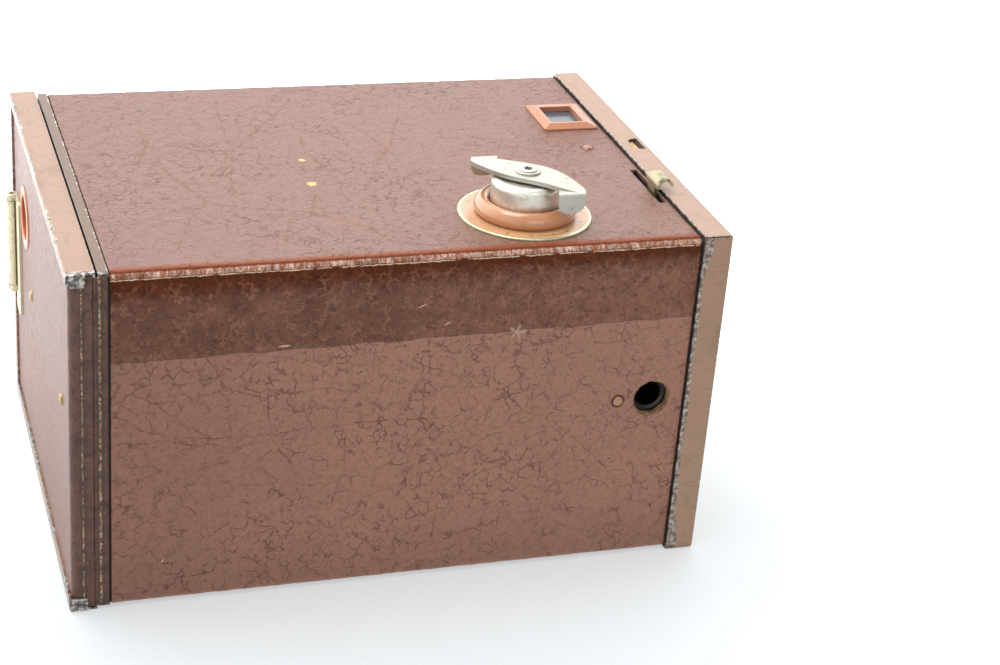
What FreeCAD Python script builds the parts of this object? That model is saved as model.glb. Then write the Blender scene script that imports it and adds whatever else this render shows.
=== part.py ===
import FreeCAD, Part
import os, math

V = FreeCAD.Vector
os.makedirs("parts", exist_ok=True)

# Box camera for 120 roll film, lying on its left side.
# Working coordinates (mm): X from the hinged back (0) to the front (149), Y from the camera's own
# bottom (0) to its own top (107.1), Z from its left side (0, on the table) to the key side (82.6).

# ---- driving dimensions -------------------------------------------------------------------
L = 149.0            # back face to front face
H = 107.1            # camera bottom to camera top
W = 82.6             # left side to key side
SKIN = 0.6           # leatherette thickness
STEP = 0.5           # metal trim stands this far proud of the leatherette
WALL = 3.0           # card wall of the box
DOOR_T = 6.2         # thickness of the hinged back
BIND_X0, BIND_X1 = 6.8, 9.0    # tan binding strip behind the leatherette
SKIN_X1 = 141.55     # leatherette ends here, at the front frame
FRAME_X0 = 142.0     # front frame flange starts here
SHEET = 0.5          # trim sheet metal
OPT_Y, OPT_Z = 53.5, 41.3      # optical axis
KEY_X, KEY_Y = 105.4, 19.4     # winding key and take-up spool axis
PLATE_R = 15.3       # round plate under the key
HINGE_X, HINGE_Y = 6.6, 0.2    # line about which the cloth hinge folds
BAR_X, BAR_Y = -0.9, 97.5      # latch barrel axis
BAR_R = 1.4
LENS_RING_X1 = 151.0           # front of the lens ring

STRAP_TOP = 112.7              # highest point of the carrying strap
X_LO, X_HI = BAR_X - BAR_R, LENS_RING_X1
ORIGIN = V((X_LO + X_HI) / 2.0, STRAP_TOP / 2.0, 0.0)   # bottom centre of the overall box

skin_y0, skin_y1 = STEP, H - STEP              # leatherette outer faces
skin_z0, skin_z1 = STEP, W - STEP
box_y0, box_y1 = STEP + SKIN, H - STEP - SKIN  # card box outer faces
box_z0, box_z1 = STEP + SKIN, W - STEP - SKIN
in_y0, in_y1 = box_y0 + WALL, box_y1 - WALL    # card box inner faces
in_z0, in_z1 = box_z0 + WALL, box_z1 - WALL


# ---- helpers ------------------------------------------------------------------------------
def box(x0, x1, y0, y1, z0, z1):
    return Part.makeBox(x1 - x0, y1 - y0, z1 - z0, V(x0, y0, z0))


def cyl(axis, p, r, length):
    d = {"x": V(1, 0, 0), "y": V(0, 1, 0), "z": V(0, 0, 1)}[axis]
    return Part.makeCylinder(r, length, V(*p), d)


def cone(axis, p, r0, r1, length):
    d = {"x": V(1, 0, 0), "y": V(0, 1, 0), "z": V(0, 0, 1)}[axis]
    return Part.makeCone(r0, r1, length, V(*p), d)


def poly(points, vec):
    """closed polygon through 3-D points, extruded along vec"""
    w = Part.makePolygon([V(*p) for p in points] + [V(*points[0])])
    return Part.Face(w).extrude(V(*vec))


def spline_plate(points, z0, t):
    """closed smooth outline in XY, extruded upward"""
    c = Part.BSplineCurve()
    c.interpolate([V(x, y, z0) for x, y in points], PeriodicFlag=True)
    return Part.Face(Part.Wire(c.toShape())).extrude(V(0, 0, t))


def fillet(s, r, pick):
    edges = [e for e in s.Edges if pick(e)]
    return s.makeFillet(r, edges) if edges else s


def along(e, axis):
    a, b = e.Vertexes[0].Point, e.Vertexes[-1].Point
    d = b - a
    if d.Length < 1e-6:
        return False
    return abs(abs(getattr(d, axis)) - d.Length) < 1e-6


def ring(axis, p, r1, r0, length):
    q = list(p)
    i = "xyz".index(axis)
    q[i] -= 1.0
    return cyl(axis, p, r1, length).cut(cyl(axis, q, r0, length + 2.0))


def coil(cx, cy, z0, z1, radius, wire, turns):
    pitch = (z1 - z0) / turns
    helix = Part.makeHelix(pitch, z1 - z0, radius)
    helix.translate(V(cx, cy, z0))
    prof = Part.Wire(Part.makeCircle(wire / 2.0, V(cx + radius, cy, z0), V(0, 1, pitch / (2 * math.pi * radius))))
    return Part.Wire(helix.Edges).makePipeShell([prof], True, True)


parts = {}

# ---- card box, covering, rear binding -------------------------------------------------------
shell = box(BIND_X0, 148.2, box_y0, box_y1, box_z0, box_z1)
nose = box(FRAME_X0 + 0.1, 148.2, skin_y0 + 0.05, skin_y1 - 0.05, skin_z0 + 0.05, skin_z1 - 0.05)
shell = shell.fuse(nose).removeSplitter()
shell = shell.cut(box(BIND_X0 - 1, 149.0, in_y0, in_y1, in_z0, in_z1))

bezel = dict(x0=126.7, x1=140.6, y0=67.7, y1=84.8, ox0=129.0, ox1=137.4, oy0=70.1, oy1=80.5)
SF_Y = 74.9                            # side finder centre across the key side
TF_Z = 24.2                            # top finder centre across the camera's top

cut_key = cyl("z", (KEY_X, KEY_Y, 70), 7.5, 20)
cut_side_finder = box(128.4, 137.8, 69.8, 80.6, 77.0, 90.0)
cut_top_finder = box(128.4, 137.8, 101.0, 115.0, TF_Z + SF_Y - 80.6, TF_Z + SF_Y - 69.8)
LEV_X0, LEV_X1 = 139.6, 140.4          # shutter lever sheet
SLOT_X0, SLOT_X1 = 139.2, 140.8
SLOT_Y0, SLOT_Y1 = 21.2, 40.8
cut_slot = box(SLOT_X0, SLOT_X1, SLOT_Y0, SLOT_Y1, 77.0, 90.0)
TRI_X, TRI_Z = 133.7, 42.1             # bottom tripod socket
TRI2_Y = 53.5                          # left-side tripod socket
cut_tri = cyl("y", (TRI_X, -2, TRI_Z), 4.5, 8).fuse(cyl("z", (TRI_X, TRI2_Y, -2), 4.5, 8))
STOP_X0, STOP_X1 = 143.4, 143.9        # aperture slide sheet
STOP_Z0, STOP_Z1 = 34.3, 48.3
cut_stop = box(STOP_X0 - 0.4, STOP_X1 + 0.4, 100.0, 115.0, 37.3, 45.3)
TIME_X0, TIME_X1 = 145.9, 146.4        # time slide sheet
TIME_Y0, TIME_Y1 = 53.2, 58.6
cut_time = box(144.6, 146.9, TIME_Y0 - 0.4, TIME_Y1 + 0.4, 77.0, 90.0)

h1 = cyl("y", (125.4, -1, 42.0), 1.0, 9)          # bottom socket plate
h2 = cyl("z", (133.6, 55.8, 74.0), 1.0, 12)       # shutter plate tab, key side
h3 = cyl("z", (125.4, TRI2_Y, -1), 1.0, 9)        # side socket plate

shell = shell.cut(cut_key).cut(cut_side_finder).cut(cut_top_finder).cut(cut_slot).cut(cut_tri)
shell = shell.cut(cut_stop).cut(cut_time).cut(h1).cut(h2).cut(h3)
# studs of the carrying strap
STRAP_Z = 41.3
STUD_X = (35.0, 110.0)
for sx in STUD_X:
    shell = shell.cut(cyl("y", (sx, 100, STRAP_Z), 1.8, 12))
parts["body_box"] = shell

skin = box(BIND_X1, SKIN_X1, skin_y0, skin_y1, skin_z0, skin_z1)
skin = fillet(skin, 0.9, lambda e: along(e, "x"))
skin = skin.cut(box(0, 150, box_y0, box_y1, box_z0, box_z1))
skin = skin.cut(cut_key).cut(cut_side_finder).cut(cut_top_finder).cut(cut_slot).cut(cut_tri)
skin = skin.cut(h1).cut(h2).cut(h3)
for sx in STUD_X:
    skin = skin.cut(cyl("y", (sx, 100, STRAP_Z), 1.8, 12))
parts["body_covering"] = skin

# thin enamelled strip round the three free rear edges of the box
bind = box(BIND_X0, BIND_X1, box_y0, skin_y1 + 0.05, skin_z0 - 0.05, skin_z1 + 0.05)
bind = fillet(bind, 0.8, lambda e: along(e, "x") and e.BoundBox.YMin > 50)
bind = bind.cut(box(0, 20, -1, box_y1, box_z0, box_z1))
parts["rear_binding"] = bind

# cloth hinge along the camera's bottom edge: flat strip with one shallow fold groove
hc = box(4.15, 8.8, skin_y0, box_y0, 3.7, W - 3.7)
hc = hc.cut(box(6.35, 6.75, 0.0, STEP + 0.25, 0, W))
parts["hinge_cloth"] = hc

# ---- hinged back ------------------------------------------------------------------------------
pan = box(1.1, 5.5, 4.3, box_y1 + 0.3, box_z0 - 0.3, box_z1 + 0.3)
pan = pan.fuse(box(1.1, 5.5, box_y0, 4.5, 4.2, W - 4.2)).removeSplitter()
RED_Y, RED_Z = 80.0, 60.5
BR = ((69.0, 44.8), (12.9, 47.0))      # rivets of the leaf spring
pan = pan.cut(cyl("x", (-1, RED_Y, RED_Z), 5.5, 10))
for (ry, rz) in BR:
    pan = pan.cut(cyl("x", (-1, ry, rz), 0.9, 12))
parts["back_panel"] = pan

# channel frame: left side, camera's top and key side, with short returns round the hinge corners
fr = box(0, DOOR_T, 0.0, H, 0.0, W)
fr = fillet(fr, 0.7, lambda e: along(e, "x") or along(e, "z") and e.BoundBox.XMax < 1 or along(e, "y") and e.BoundBox.XMax < 1)
fr = fr.cut(box(SHEET, DOOR_T - SHEET, SHEET, H - SHEET, SHEET, W - SHEET))
fr = fr.cut(box(-1, 1, -1, H - 4.6, 4.0, W - 2.2))            # open back face
fr = fr.cut(box(DOOR_T - 1, DOOR_T + 1, -1, H - 4.6, 4.0, W - 4.0))   # open inner face
fr = fr.cut(box(-1, DOOR_T + 1, -1, 3.0, 3.4, W - 3.0))       # hinge edge is leather only
# returned corners stop short of the fold line, and are rounded
fr = fr.cut(box(4.0, DOOR_T + 1, -1, SHEET + 0.2, -1, W + 1))
parts["back_frame"] = fr

cov = box(SHEET, 1.1, box_y0 - 0.6, H - SHEET, SHEET, W - SHEET)
cov = cov.fuse(box(SHEET, 4.1, skin_y0, box_y0, 3.7, W - 3.3))
cov = cov.cut(box(0, 1.2, -1, 3.4, -1, 3.7)).cut(box(0, 1.2, -1, 3.4, W - 3.3, W + 1)).removeSplitter()
cov = cov.cut(cyl("x", (-1, RED_Y, RED_Z), 7.7, 4))
for (ry, rz) in BR:
    cov = cov.cut(cyl("x", (-1, ry, rz), 0.9, 12))
cov = cov.common(box(-1, 10, skin_y0, H, -1, W + 1))
parts["back_covering"] = cov

rim = ring("x", (0.15, RED_Y, RED_Z), 7.7, 5.5, 0.95)
rim = fillet(rim, 0.35, lambda e: e.BoundBox.XMax < 0.2)
parts["red_window_rim"] = rim
parts["red_window_disc"] = cyl("x", (1.5, RED_Y, RED_Z), 5.5, 0.6)

br = None
for (ry, rz) in BR:
    s = cyl("x", (0.35, ry, rz), 0.85, 6.1)
    hd = Part.makeSphere(1.6, V(1.25, ry, rz)).common(box(0.0, 0.5, ry - 3, ry + 3, rz - 3, rz + 3))
    s = s.fuse(hd).fuse(cyl("x", (6.1, ry, rz), 1.5, 0.4)).removeSplitter()
    br = s if br is None else br.fuse(s)
parts["back_rivets"] = br

# leaf spring on the inside of the back, bowed towards the film, both feet riveted
N = 24
y_a, y_b = 9.5, 72.5
def leaf_x(y):
    if y < 16.0 or y > 66.0:
        return 5.55
    return 5.55 + 1.5 * math.sin(math.pi * (y - 16.0) / 50.0) ** 2
ys = [y_a + (y_b - y_a) * i / N for i in range(N + 1)]
front = [(leaf_x(y), y, 42.4) for y in ys]
back = [(leaf_x(y) + 0.35, y, 42.4) for y in reversed(ys)]
leaf = poly(front + back, (0, 0, 7.0))
for (ry, rz) in BR:
    leaf = leaf.cut(cyl("x", (-1, ry, rz), 0.9, 12))
parts["back_leaf_spring"] = leaf

# ---- latch --------------------------------------------------------------------------------------
LZ0, LZ1 = 33.3, 59.6
LK = 1.6                              # length of each end knuckle
base = box(-0.1, 0.5, 90.2, 97.5, LZ0 - 4.6, LZ1)
base = fillet(base, 2.0, lambda e: along(e, "x") and e.BoundBox.YMax < 91)
for (a, b) in ((LZ0, LZ0 + LK), (LZ1 - LK, LZ1)):
    base = base.fuse(cyl("z", (BAR_X, BAR_Y, a), BAR_R, b - a))
base = base.cut(box(-3, 1, 95.75, 99.5, LZ0 + LK, LZ1 - LK))
base = base.cut(cyl("z", (BAR_X, BAR_Y, LZ0 - 1), 0.65, LZ1 - LZ0 + 2)).removeSplitter()
parts["latch_base"] = base
parts["latch_pin"] = cyl("z", (BAR_X, BAR_Y, LZ0 + 0.4), 0.6, LZ1 - LZ0 - 0.8)

CL_IN = 107.35                        # inner face of the clasp's top leg
cl = cyl("z", (BAR_X, BAR_Y, LZ0 + LK + 0.15), 1.4, LZ1 - LZ0 - 2 * LK - 0.3)
cl = cl.fuse(box(-0.75, -0.15, BAR_Y, 100.5, LZ0 + LK + 0.15, 54.8))
leafc = box(-0.75, -0.15, 99.4, CL_IN + 0.6, 34.6, 54.8)
leg = box(-0.75, 13.2, CL_IN, CL_IN + 0.6, 34.6, 54.8)
leg = fillet(leg, 5.0, lambda e: along(e, "y") and e.BoundBox.XMin > 10)
hook = cyl("z", (12.9, CL_IN + 0.85, 39.0), 0.85, 12.5)
cl = cl.fuse(leafc).fuse(leg).fuse(hook)
cl = cl.cut(cyl("z", (BAR_X, BAR_Y, 30), 0.65, 34)).removeSplitter()
parts["latch_clasp"] = cl
cat = box(9.4, 11.0, box_y1 + SKIN, box_y1 + SKIN + 0.55, 40.5, 50.0)
parts["latch_catch"] = fillet(cat, 0.4, lambda e: e.BoundBox.YMin > box_y1 + SKIN + 0.5 and along(e, "z"))

# ---- front ----------------------------------------------------------------------------------------
FACE_X0 = L - 0.6
ff = box(FRAME_X0, L, 0, H, 0, W)
ff = fillet(ff, 0.6, lambda e: along(e, "x") or e.BoundBox.XMin > L - 0.1)
ff = ff.cut(box(FRAME_X0 - 1, FACE_X0, SHEET, H - SHEET, SHEET, W - SHEET))
# open seams where the flanges meet at the four corner edges
for y in (0, H):
    for z in (0, W):
        seam = box(FRAME_X0 - 1, FACE_X0 - 0.4, y - 1.4, y + 1.4, z - 0.12, z + 0.12)
        seam.rotate(V(0, y, z), V(1, 0, 0), 45 if (y > 1) == (z > 1) else -45)
        ff = ff.cut(seam)
LENS_HOLE = 8.0
SF_OBJ = (SF_Y, 71.6)      # side finder objective centre (y, z)
TF_OBJ = (71.6 + H - W, TF_Z)      # top finder objective centre (y, z)
OBJ_R = 4.2
ff = ff.cut(cyl("x", (140, OPT_Y, OPT_Z), LENS_HOLE, 12))
for (oy, oz) in (SF_OBJ, TF_OBJ):
    ff = ff.cut(cyl("x", (140, oy, oz), OBJ_R, 12))
# scooped cut-out over the time slide, and a slit for the aperture slide
scoop = box(144.9, 147.6, 52.5, 59.3, 78.0, 90.0)
scoop = fillet(scoop, 2.2, lambda e: along(e, "z") and e.BoundBox.XMin < 145)
ff = ff.cut(scoop)
ff = ff.cut(box(STOP_X0 - 0.4, STOP_X1 + 0.4, 100.0, 115.0, 37.3, 45.3))
parts["front_frame"] = ff

fc = box(L, L + 0.5, 8.0, H - 8.0, 8.0, W - 8.0)
fc = fillet(fc, 5.0, lambda e: along(e, "x"))
fc = fc.cut(cyl("x", (140, OPT_Y, OPT_Z), 12.2, 12))
for (oy, oz) in (SF_OBJ, TF_OBJ):
    fc = fc.cut(cyl("x", (140, oy, oz), 5.6, 12))
parts["front_covering"] = fc.common(box(140, 160, 0, H, 0, W))

lr = ring("x", (L, OPT_Y, OPT_Z), 12.0, LENS_HOLE, 2.0)
lr = lr.cut(cone("x", (L + 0.6, OPT_Y, OPT_Z), LENS_HOLE, LENS_HOLE + 2.2, 1.5))
lr = fillet(lr, 0.7, lambda e: e.BoundBox.XMin > L + 1.9 and e.BoundBox.YLength > 23)
parts["lens_ring"] = lr

# ---- lens board, shutter and slides ------------------------------------------------------------------
BOARD_X0, BOARD_X1 = 133.8, 136.8
bd = box(BOARD_X0, BOARD_X1, in_y0, in_y1, in_z0, in_z1)
bd = bd.cut(cyl("x", (120, OPT_Y, OPT_Z), 9.0, 30))
bd = bd.cut(box(130, 140, 66.0, 83.8, 60.0, 80.0))                     # side finder housing
bd = bd.cut(box(130, 140, 84.6, 104.0, 15.0, 33.4))                    # top finder housing
bd = bd.cut(box(130, 140, 0, 13.0, TRI_Z - 7, TRI_Z + 7))              # bottom socket bush
bd = bd.cut(box(130, 140, TRI2_Y - 7, TRI2_Y + 7, 0, 13.0))            # side socket bush
bd = bd.cut(box(130, 140, 50.0, 61.6, 72.5, 80.0))                     # tab of the shutter plate
parts["front_board"] = bd

sp = box(136.8, 137.4, 14.0, 66.0, 14.0, 60.0)
sp = sp.fuse(box(136.8, 137.4, 51.0, 60.6, 59.0, in_z1))
sp = sp.fuse(box(130.2, 137.4, 51.0, 60.6, in_z1 - 0.8, in_z1))
sp = sp.cut(cyl("x", (120, OPT_Y, OPT_Z), 4.6, 30)).cut(h2).removeSplitter()
DISC_Y, DISC_Z = 53.5, 29.8
LPIV_Y, LPIV_Z = 30.0, 40.0
for (py, pz) in ((DISC_Y, DISC_Z), (LPIV_Y, LPIV_Z)):
    sp = sp.cut(cyl("x", (130, py, pz), 1.5, 12))
parts["shutter_plate"] = sp
bd = parts["front_board"]
for (py, pz) in ((DISC_Y, DISC_Z), (LPIV_Y, LPIV_Z)):
    bd = bd.cut(cyl("x", (130, py, pz), 1.5, 12))
parts["front_board"] = bd

dp = cyl("x", (134.6, DISC_Y, DISC_Z), 1.5, 4.4).fuse(cyl("x", (139.0, DISC_Y, DISC_Z), 2.4, 0.5))
lp = cyl("x", (134.6, LPIV_Y, LPIV_Z), 1.5, 6.3).fuse(cyl("x", (140.8, LPIV_Y, LPIV_Z), 2.6, 0.6))
lp = lp.fuse(cyl("x", (137.4, LPIV_Y, LPIV_Z), 2.6, 1.9))
parts["shutter_pivots"] = dp.fuse(lp)

# rotary disc with one round opening, out of line with the lens at rest
DISC_X0, DISC_X1 = 138.0, 138.5
ang = math.radians(-47.0)
hy = DISC_Y + 11.5 * math.sin(ang)
hz = DISC_Z + 11.5 * math.cos(ang)
di = cyl("x", (DISC_X0, DISC_Y, DISC_Z), 20.3, DISC_X1 - DISC_X0)
di = di.cut(cyl("x", (130, hy, hz), 4.4, 12)).cut(cyl("x", (130, DISC_Y, DISC_Z), 1.56, 12))
lug_y, lug_z = DISC_Y - 16.0 * math.sin(math.radians(75)), DISC_Z + 16.0 * math.cos(math.radians(75))
di = di.cut(cyl("x", (130, lug_y, lug_z), 0.5, 12))
parts["shutter_disc"] = di

# lever: flat arm on its pivot, neck through the slot, thumb piece rolled over towards the front
arm = poly([(LEV_X0, 26.6, 36.8), (LEV_X0, 33.4, 36.8), (LEV_X0, 33.2, 44.0), (LEV_X0, 30.4, 77.0),
            (LEV_X0, 30.2, 84.6), (LEV_X0, 26.2, 84.6), (LEV_X0, 26.1, 77.0), (LEV_X0, 26.8, 44.0)],
           (LEV_X1 - LEV_X0, 0, 0))
prof = [(LEV_X0, 83.0)]
outer, inner = [], []
cx, cz, ro, ri = 141.7, 84.25, 2.1, 1.3
for i in range(9):
    a = math.radians(180 - i * 17.5)
    outer.append((cx + ro * math.cos(a), cz + ro * math.sin(a)))
    inner.append((cx + ri * math.cos(a), cz + ri * math.sin(a)))
tipo = (outer[-1][0] + 0.55, outer[-1][1] - 0.65)
tipi = (inner[-1][0] + 0.55, inner[-1][1] - 0.65)
pts = [(LEV_X0, 84.0)] + outer + [tipo, tipi] + list(reversed(inner)) + [(LEV_X1, 84.0)]
TH_Y0, TH_Y1 = 24.3, 32.2
thumb = poly([(x, TH_Y0, z) for x, z in pts], (0, TH_Y1 - TH_Y0, 0))
# rounded outline of the thumb piece, seen along X and along Z
mask = box(135, 150, TH_Y0, TH_Y1, 82.0, 92.0)
mask = fillet(mask, 2.6, lambda e: along(e, "x") and e.BoundBox.ZMin > 90)
mask.translate(V(0, 0, -(92.0 - 86.38)))
thumb = thumb.common(mask)
for i in range(6):
    y = TH_Y0 + 1.15 + i * 1.1
    thumb = thumb.cut(box(142.35, 146.0, y - 0.27, y + 0.27, 80.0, 90.0))
lev = arm.fuse(thumb).cut(cyl("x", (130, LPIV_Y, LPIV_Z), 1.56, 20)).removeSplitter()
lev = lev.cut(cyl("x", (130, 31.3, 46.5), 0.5, 20))
parts["shutter_lever"] = lev

# over-centre wire spring between lever and disc
def wire(points, r):
    e = Part.makePolygon([V(*p) for p in points])
    d = V(*points[1]) - V(*points[0])
    c = Part.Wire(Part.makeCircle(r, V(*points[0]), d))
    return Part.Wire(e).makePipeShell([c], True, False, 2)
parts["shutter_spring"] = wire([(140.9, 31.3, 46.5), (139.05, 31.3, 46.5), (139.05, 34.5, 42.5), (139.05, lug_y, lug_z), (137.7, lug_y, lug_z)], 0.22)

gd = box(142.4, 142.9, 38.0, 69.0, 28.0, 55.2)
gd = gd.cut(cyl("x", (130, OPT_Y, OPT_Z), 8.0, 20))
for y in (39.2, 66.2):
    for z in (29.5, 52.6):
        gd = gd.fuse(box(142.9, FACE_X0, y, y + 1.6, z, z + 1.4))
parts["slide_guide"] = gd.removeSplitter()

ss = box(STOP_X0, STOP_X1, 31.0, 64.4, STOP_Z0, STOP_Z1)
ss = ss.fuse(box(STOP_X0, STOP_X1, 64.0, 108.9, 37.8, 44.8))
ss = fillet(ss.removeSplitter(), 2.4, lambda e: along(e, "x") and e.BoundBox.YMin > 108)
for (dy, r) in ((0, 4.0), (-9.0, 2.9), (-17.0, 2.0)):
    ss = ss.cut(cyl("x", (130, OPT_Y + dy, OPT_Z), r, 20))
parts["stop_slide"] = ss.common(box(140, 150, 31.0, 109, 0, 80))

ts = box(TIME_X0, TIME_X1, TIME_Y0, TIME_Y1, 56.0, 82.05)
lip = box(145.15, TIME_X1, TIME_Y0, TIME_Y1, 81.4, 82.05)
lip = fillet(lip, 1.2, lambda e: along(e, "z") and e.BoundBox.XMax < 145.3)
ts = ts.fuse(lip).removeSplitter()
ts = ts.cut(cyl("x", (130, 55.9, 60.0), 1.2, 20))
parts["time_slide"] = ts

# ---- lens -----------------------------------------------------------------------------------------------
cell = cyl("x", (128.6, OPT_Y, OPT_Z), 9.8, 5.2).fuse(ring("x", (133.0, OPT_Y, OPT_Z), 12.5, 5.0, 0.8))
cell = cell.cut(cyl("x", (128.0, OPT_Y, OPT_Z), 8.7, 5.0)).cut(cyl("x", (120, OPT_Y, OPT_Z), 6.8, 20))
cell = cell.fuse(ring("x", (128.6, OPT_Y, OPT_Z), 9.2, 7.9, 0.5)).removeSplitter()
parts["lens_cell"] = cell
# meniscus: both faces curve the same way, thicker in the middle
Rf, Rb = 34.0, 28.0
sol = cyl("x", (129.4, OPT_Y, OPT_Z), 8.6, 3.5)
sol = sol.common(Part.makeSphere(Rb, V(129.4 + 3.1 - Rb, OPT_Y, OPT_Z)))
sol = sol.cut(Part.makeSphere(Rf, V(129.4 + 0.9 - Rf, OPT_Y, OPT_Z)))
parts["meniscus_lens"] = sol

# ---- finders ----------------------------------------------------------------------------------------------
def bezel_frame(x0, x1, y0, y1, ox0, ox1, oy0, oy1, z, h):
    """picture-frame stamping: thin outer edge, four faces sloping up to a rounded crest round the opening"""
    def loop(a0, a1, b0, b1, zz):
        return Part.makePolygon([V(a0, b0, zz), V(a1, b0, zz), V(a1, b1, zz), V(a0, b1, zz), V(a0, b0, zz)])
    c = 0.75
    foot = box(x0, x1, y0, y1, z, z + 0.35)
    hip = Part.makeLoft([loop(x0, x1, y0, y1, z + 0.35), loop(ox0 - c, ox1 + c, oy0 - c, oy1 + c, z + h)], True, True)
    b = hip.fuse(foot).removeSplitter()
    b = b.common(fillet(box(x0, x1, y0, y1, z - 1, z + h + 1), 0.9, lambda e: along(e, "z")))
    o = fillet(box(ox0, ox1, oy0, oy1, z - 2.0, z + h + 1), 0.5, lambda e: along(e, "z"))
    return b.cut(o)


side_bezel = bezel_frame(bezel["x0"], bezel["x1"], bezel["y0"], bezel["y1"], bezel["ox0"], bezel["ox1"],
                         bezel["oy0"], bezel["oy1"], skin_z1, 1.35)
parts["side_finder_bezel"] = side_bezel


def to_top(s):
    """turn a finder part built on the key side so it sits on the camera's top"""
    t = s.copy()
    t.rotate(V(0, 0, 0), V(1, 0, 0), -90)          # (x, y, z) -> (x, z, -y)
    t.translate(V(0, H - W, TF_Z + SF_Y))
    return t


parts["top_finder_bezel"] = to_top(side_bezel)
glass = box(128.5, 137.7, 69.9, 80.5, skin_z1 - 0.85, skin_z1 - 0.05)
parts["side_finder_glass"] = glass
parts["top_finder_glass"] = to_top(glass)

# mirror at 45 degrees: light comes in along -X and leaves along +Z
mc = V(133.2, SF_Y, SF_OBJ[1])
mir = Part.makeBox(14.0, 9.6, 0.8, V(-7.0, -4.8, -0.8))
mir.rotate(V(0, 0, 0), V(0, 1, 0), 45)
mir.translate(mc)
parts["side_finder_mirror"] = mir
parts["top_finder_mirror"] = to_top(mir)

hs = box(126.4, 147.0, 68.9, 80.9, 64.6, skin_z1 - 4.2)
hs = hs.fuse(box(128.5, 137.7, 69.9, 80.5, skin_z1 - 4.4, skin_z1 - 0.85)).removeSplitter()
hs = hs.cut(box(127.0, 148.0, 69.5, 80.3, 65.2, skin_z1 - 4.8))
hs = hs.cut(box(129.0, 137.2, 70.4, 80.0, 70.0, skin_z1 + 2))
# wedge under the mirror closes the lower back corner
wedge = poly([(127.0, 69.5, 65.2), (127.0, 69.5, 76.4), (138.2, 69.5, 65.2)], (0, 10.8, 0))
hs = hs.fuse(wedge).removeSplitter()
parts["side_finder_housing"] = hs
parts["top_finder_housing"] = to_top(hs)


def objective(oy, oz):
    o = ring("x", (147.0, oy, oz), OBJ_R + 1.2, OBJ_R - 0.9, 1.4).fuse(ring("x", (148.2, oy, oz), OBJ_R - 0.05, OBJ_R - 0.9, 1.0))
    lens = cyl("x", (147.3, oy, oz), OBJ_R - 0.9, 1.3).common(Part.makeSphere(9.0, V(148.6 - 9.0, oy, oz)))
    return o.fuse(lens).removeSplitter()


parts["side_finder_objective"] = objective(*SF_OBJ)
parts["top_finder_objective"] = objective(*TF_OBJ)

# ---- tripod sockets (1/4 inch thread, drawn at its mating radius) ---------------------------------------------
TRI_R = 3.1
BUSH = 4.2          # bush height inside the wall
tp = box(121.6, 140.4, in_y0, in_y0 + 1.2, 36.2, 48.0)
tp = tp.fuse(cyl("y", (TRI_X, 2.4, TRI_Z), 4.45, in_y0 - 2.4 + 0.1)).fuse(cyl("y", (TRI_X, in_y0, TRI_Z), 5.6, BUSH))
tp = tp.cut(cyl("y", (TRI_X, 0, TRI_Z), TRI_R, 10.0)).cut(h1).removeSplitter()
tp = tp.cut(cone("y", (TRI_X, 2.4, TRI_Z), TRI_R + 0.5, TRI_R, 0.5))
parts["bottom_tripod_plate"] = tp
tq = box(121.6, 140.4, TRI2_Y - 5.9, TRI2_Y + 5.9, in_z0, in_z0 + 1.2)
tq = tq.fuse(cyl("z", (TRI_X, TRI2_Y, 2.4), 4.45, in_z0 - 2.4 + 0.1)).fuse(cyl("z", (TRI_X, TRI2_Y, in_z0), 5.6, BUSH))
tq = tq.cut(cyl("z", (TRI_X, TRI2_Y, 0), TRI_R, 10.0)).cut(h3).removeSplitter()
tq = tq.cut(cone("z", (TRI_X, TRI2_Y, 2.4), TRI_R + 0.5, TRI_R, 0.5))
parts["side_tripod_plate"] = tq

rv = cyl("y", (125.4, 0.3, 42.0), 0.98, 5.4).fuse(cyl("y", (125.4, 5.3, 42.0), 1.7, 0.5))
rv = rv.fuse(Part.makeSphere(2.0, V(125.4, 2.05, 42.0)).common(box(120, 130, -1, 0.5, 38, 46)))
rw = cyl("z", (133.6, 55.8, 77.3), 0.98, 5.0).fuse(cyl("z", (133.6, 55.8, 77.1), 1.7, 0.5))
rw = rw.fuse(Part.makeSphere(2.0, V(133.6, 55.8, W - 1.9)).common(box(130, 137, 52, 60, skin_z1, W + 1)))
rx = cyl("z", (125.4, TRI2_Y, 0.3), 0.98, 5.4).fuse(cyl("z", (125.4, TRI2_Y, 5.3), 1.7, 0.5))
rx = rx.fuse(Part.makeSphere(2.0, V(125.4, TRI2_Y, 2.2)).common(box(120, 130, 50, 58, -1, 0.5)))
parts["body_rivets"] = rv.removeSplitter().fuse(rw.removeSplitter()).fuse(rx.removeSplitter())

# ---- winding key -----------------------------------------------------------------------------------------------
kp = cyl("z", (KEY_X, KEY_Y, skin_z1), PLATE_R, 0.5)
kp = fillet(kp, 0.3, lambda e: e.BoundBox.ZMin > W - 0.01)
kp = kp.cut(cyl("z", (KEY_X, KEY_Y, 70), 7.5, 30))
parts["key_plate"] = kp
# raised collar: half-round ring between foot radius 11.8 and bore 7.8, crest 3 above the plate
COL_R = 8.2                               # bore of the collar
bs = Part.BSplineCurve()
bs.interpolate([V(KEY_X + COL_R, KEY_Y, W + 1.6), V(KEY_X + 8.5, KEY_Y, W + 3.0), V(KEY_X + 9.7, KEY_Y, W + 3.7), V(KEY_X + 11.0, KEY_Y, W + 3.0),
                V(KEY_X + 11.75, KEY_Y, W + 1.6), V(KEY_X + 10.9, KEY_Y, W)])
prof = Part.Wire([bs.toShape(), Part.makeLine(V(KEY_X + 10.9, KEY_Y, W), V(KEY_X + COL_R, KEY_Y, W)),
                  Part.makeLine(V(KEY_X + COL_R, KEY_Y, W), V(KEY_X + COL_R, KEY_Y, W + 1.6))])
col = Part.Face(prof).revolve(V(KEY_X, KEY_Y, 0), V(0, 0, 1), 360)
if col.Volume < 0:
    col.reverse()
parts["key_collar"] = col
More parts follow.
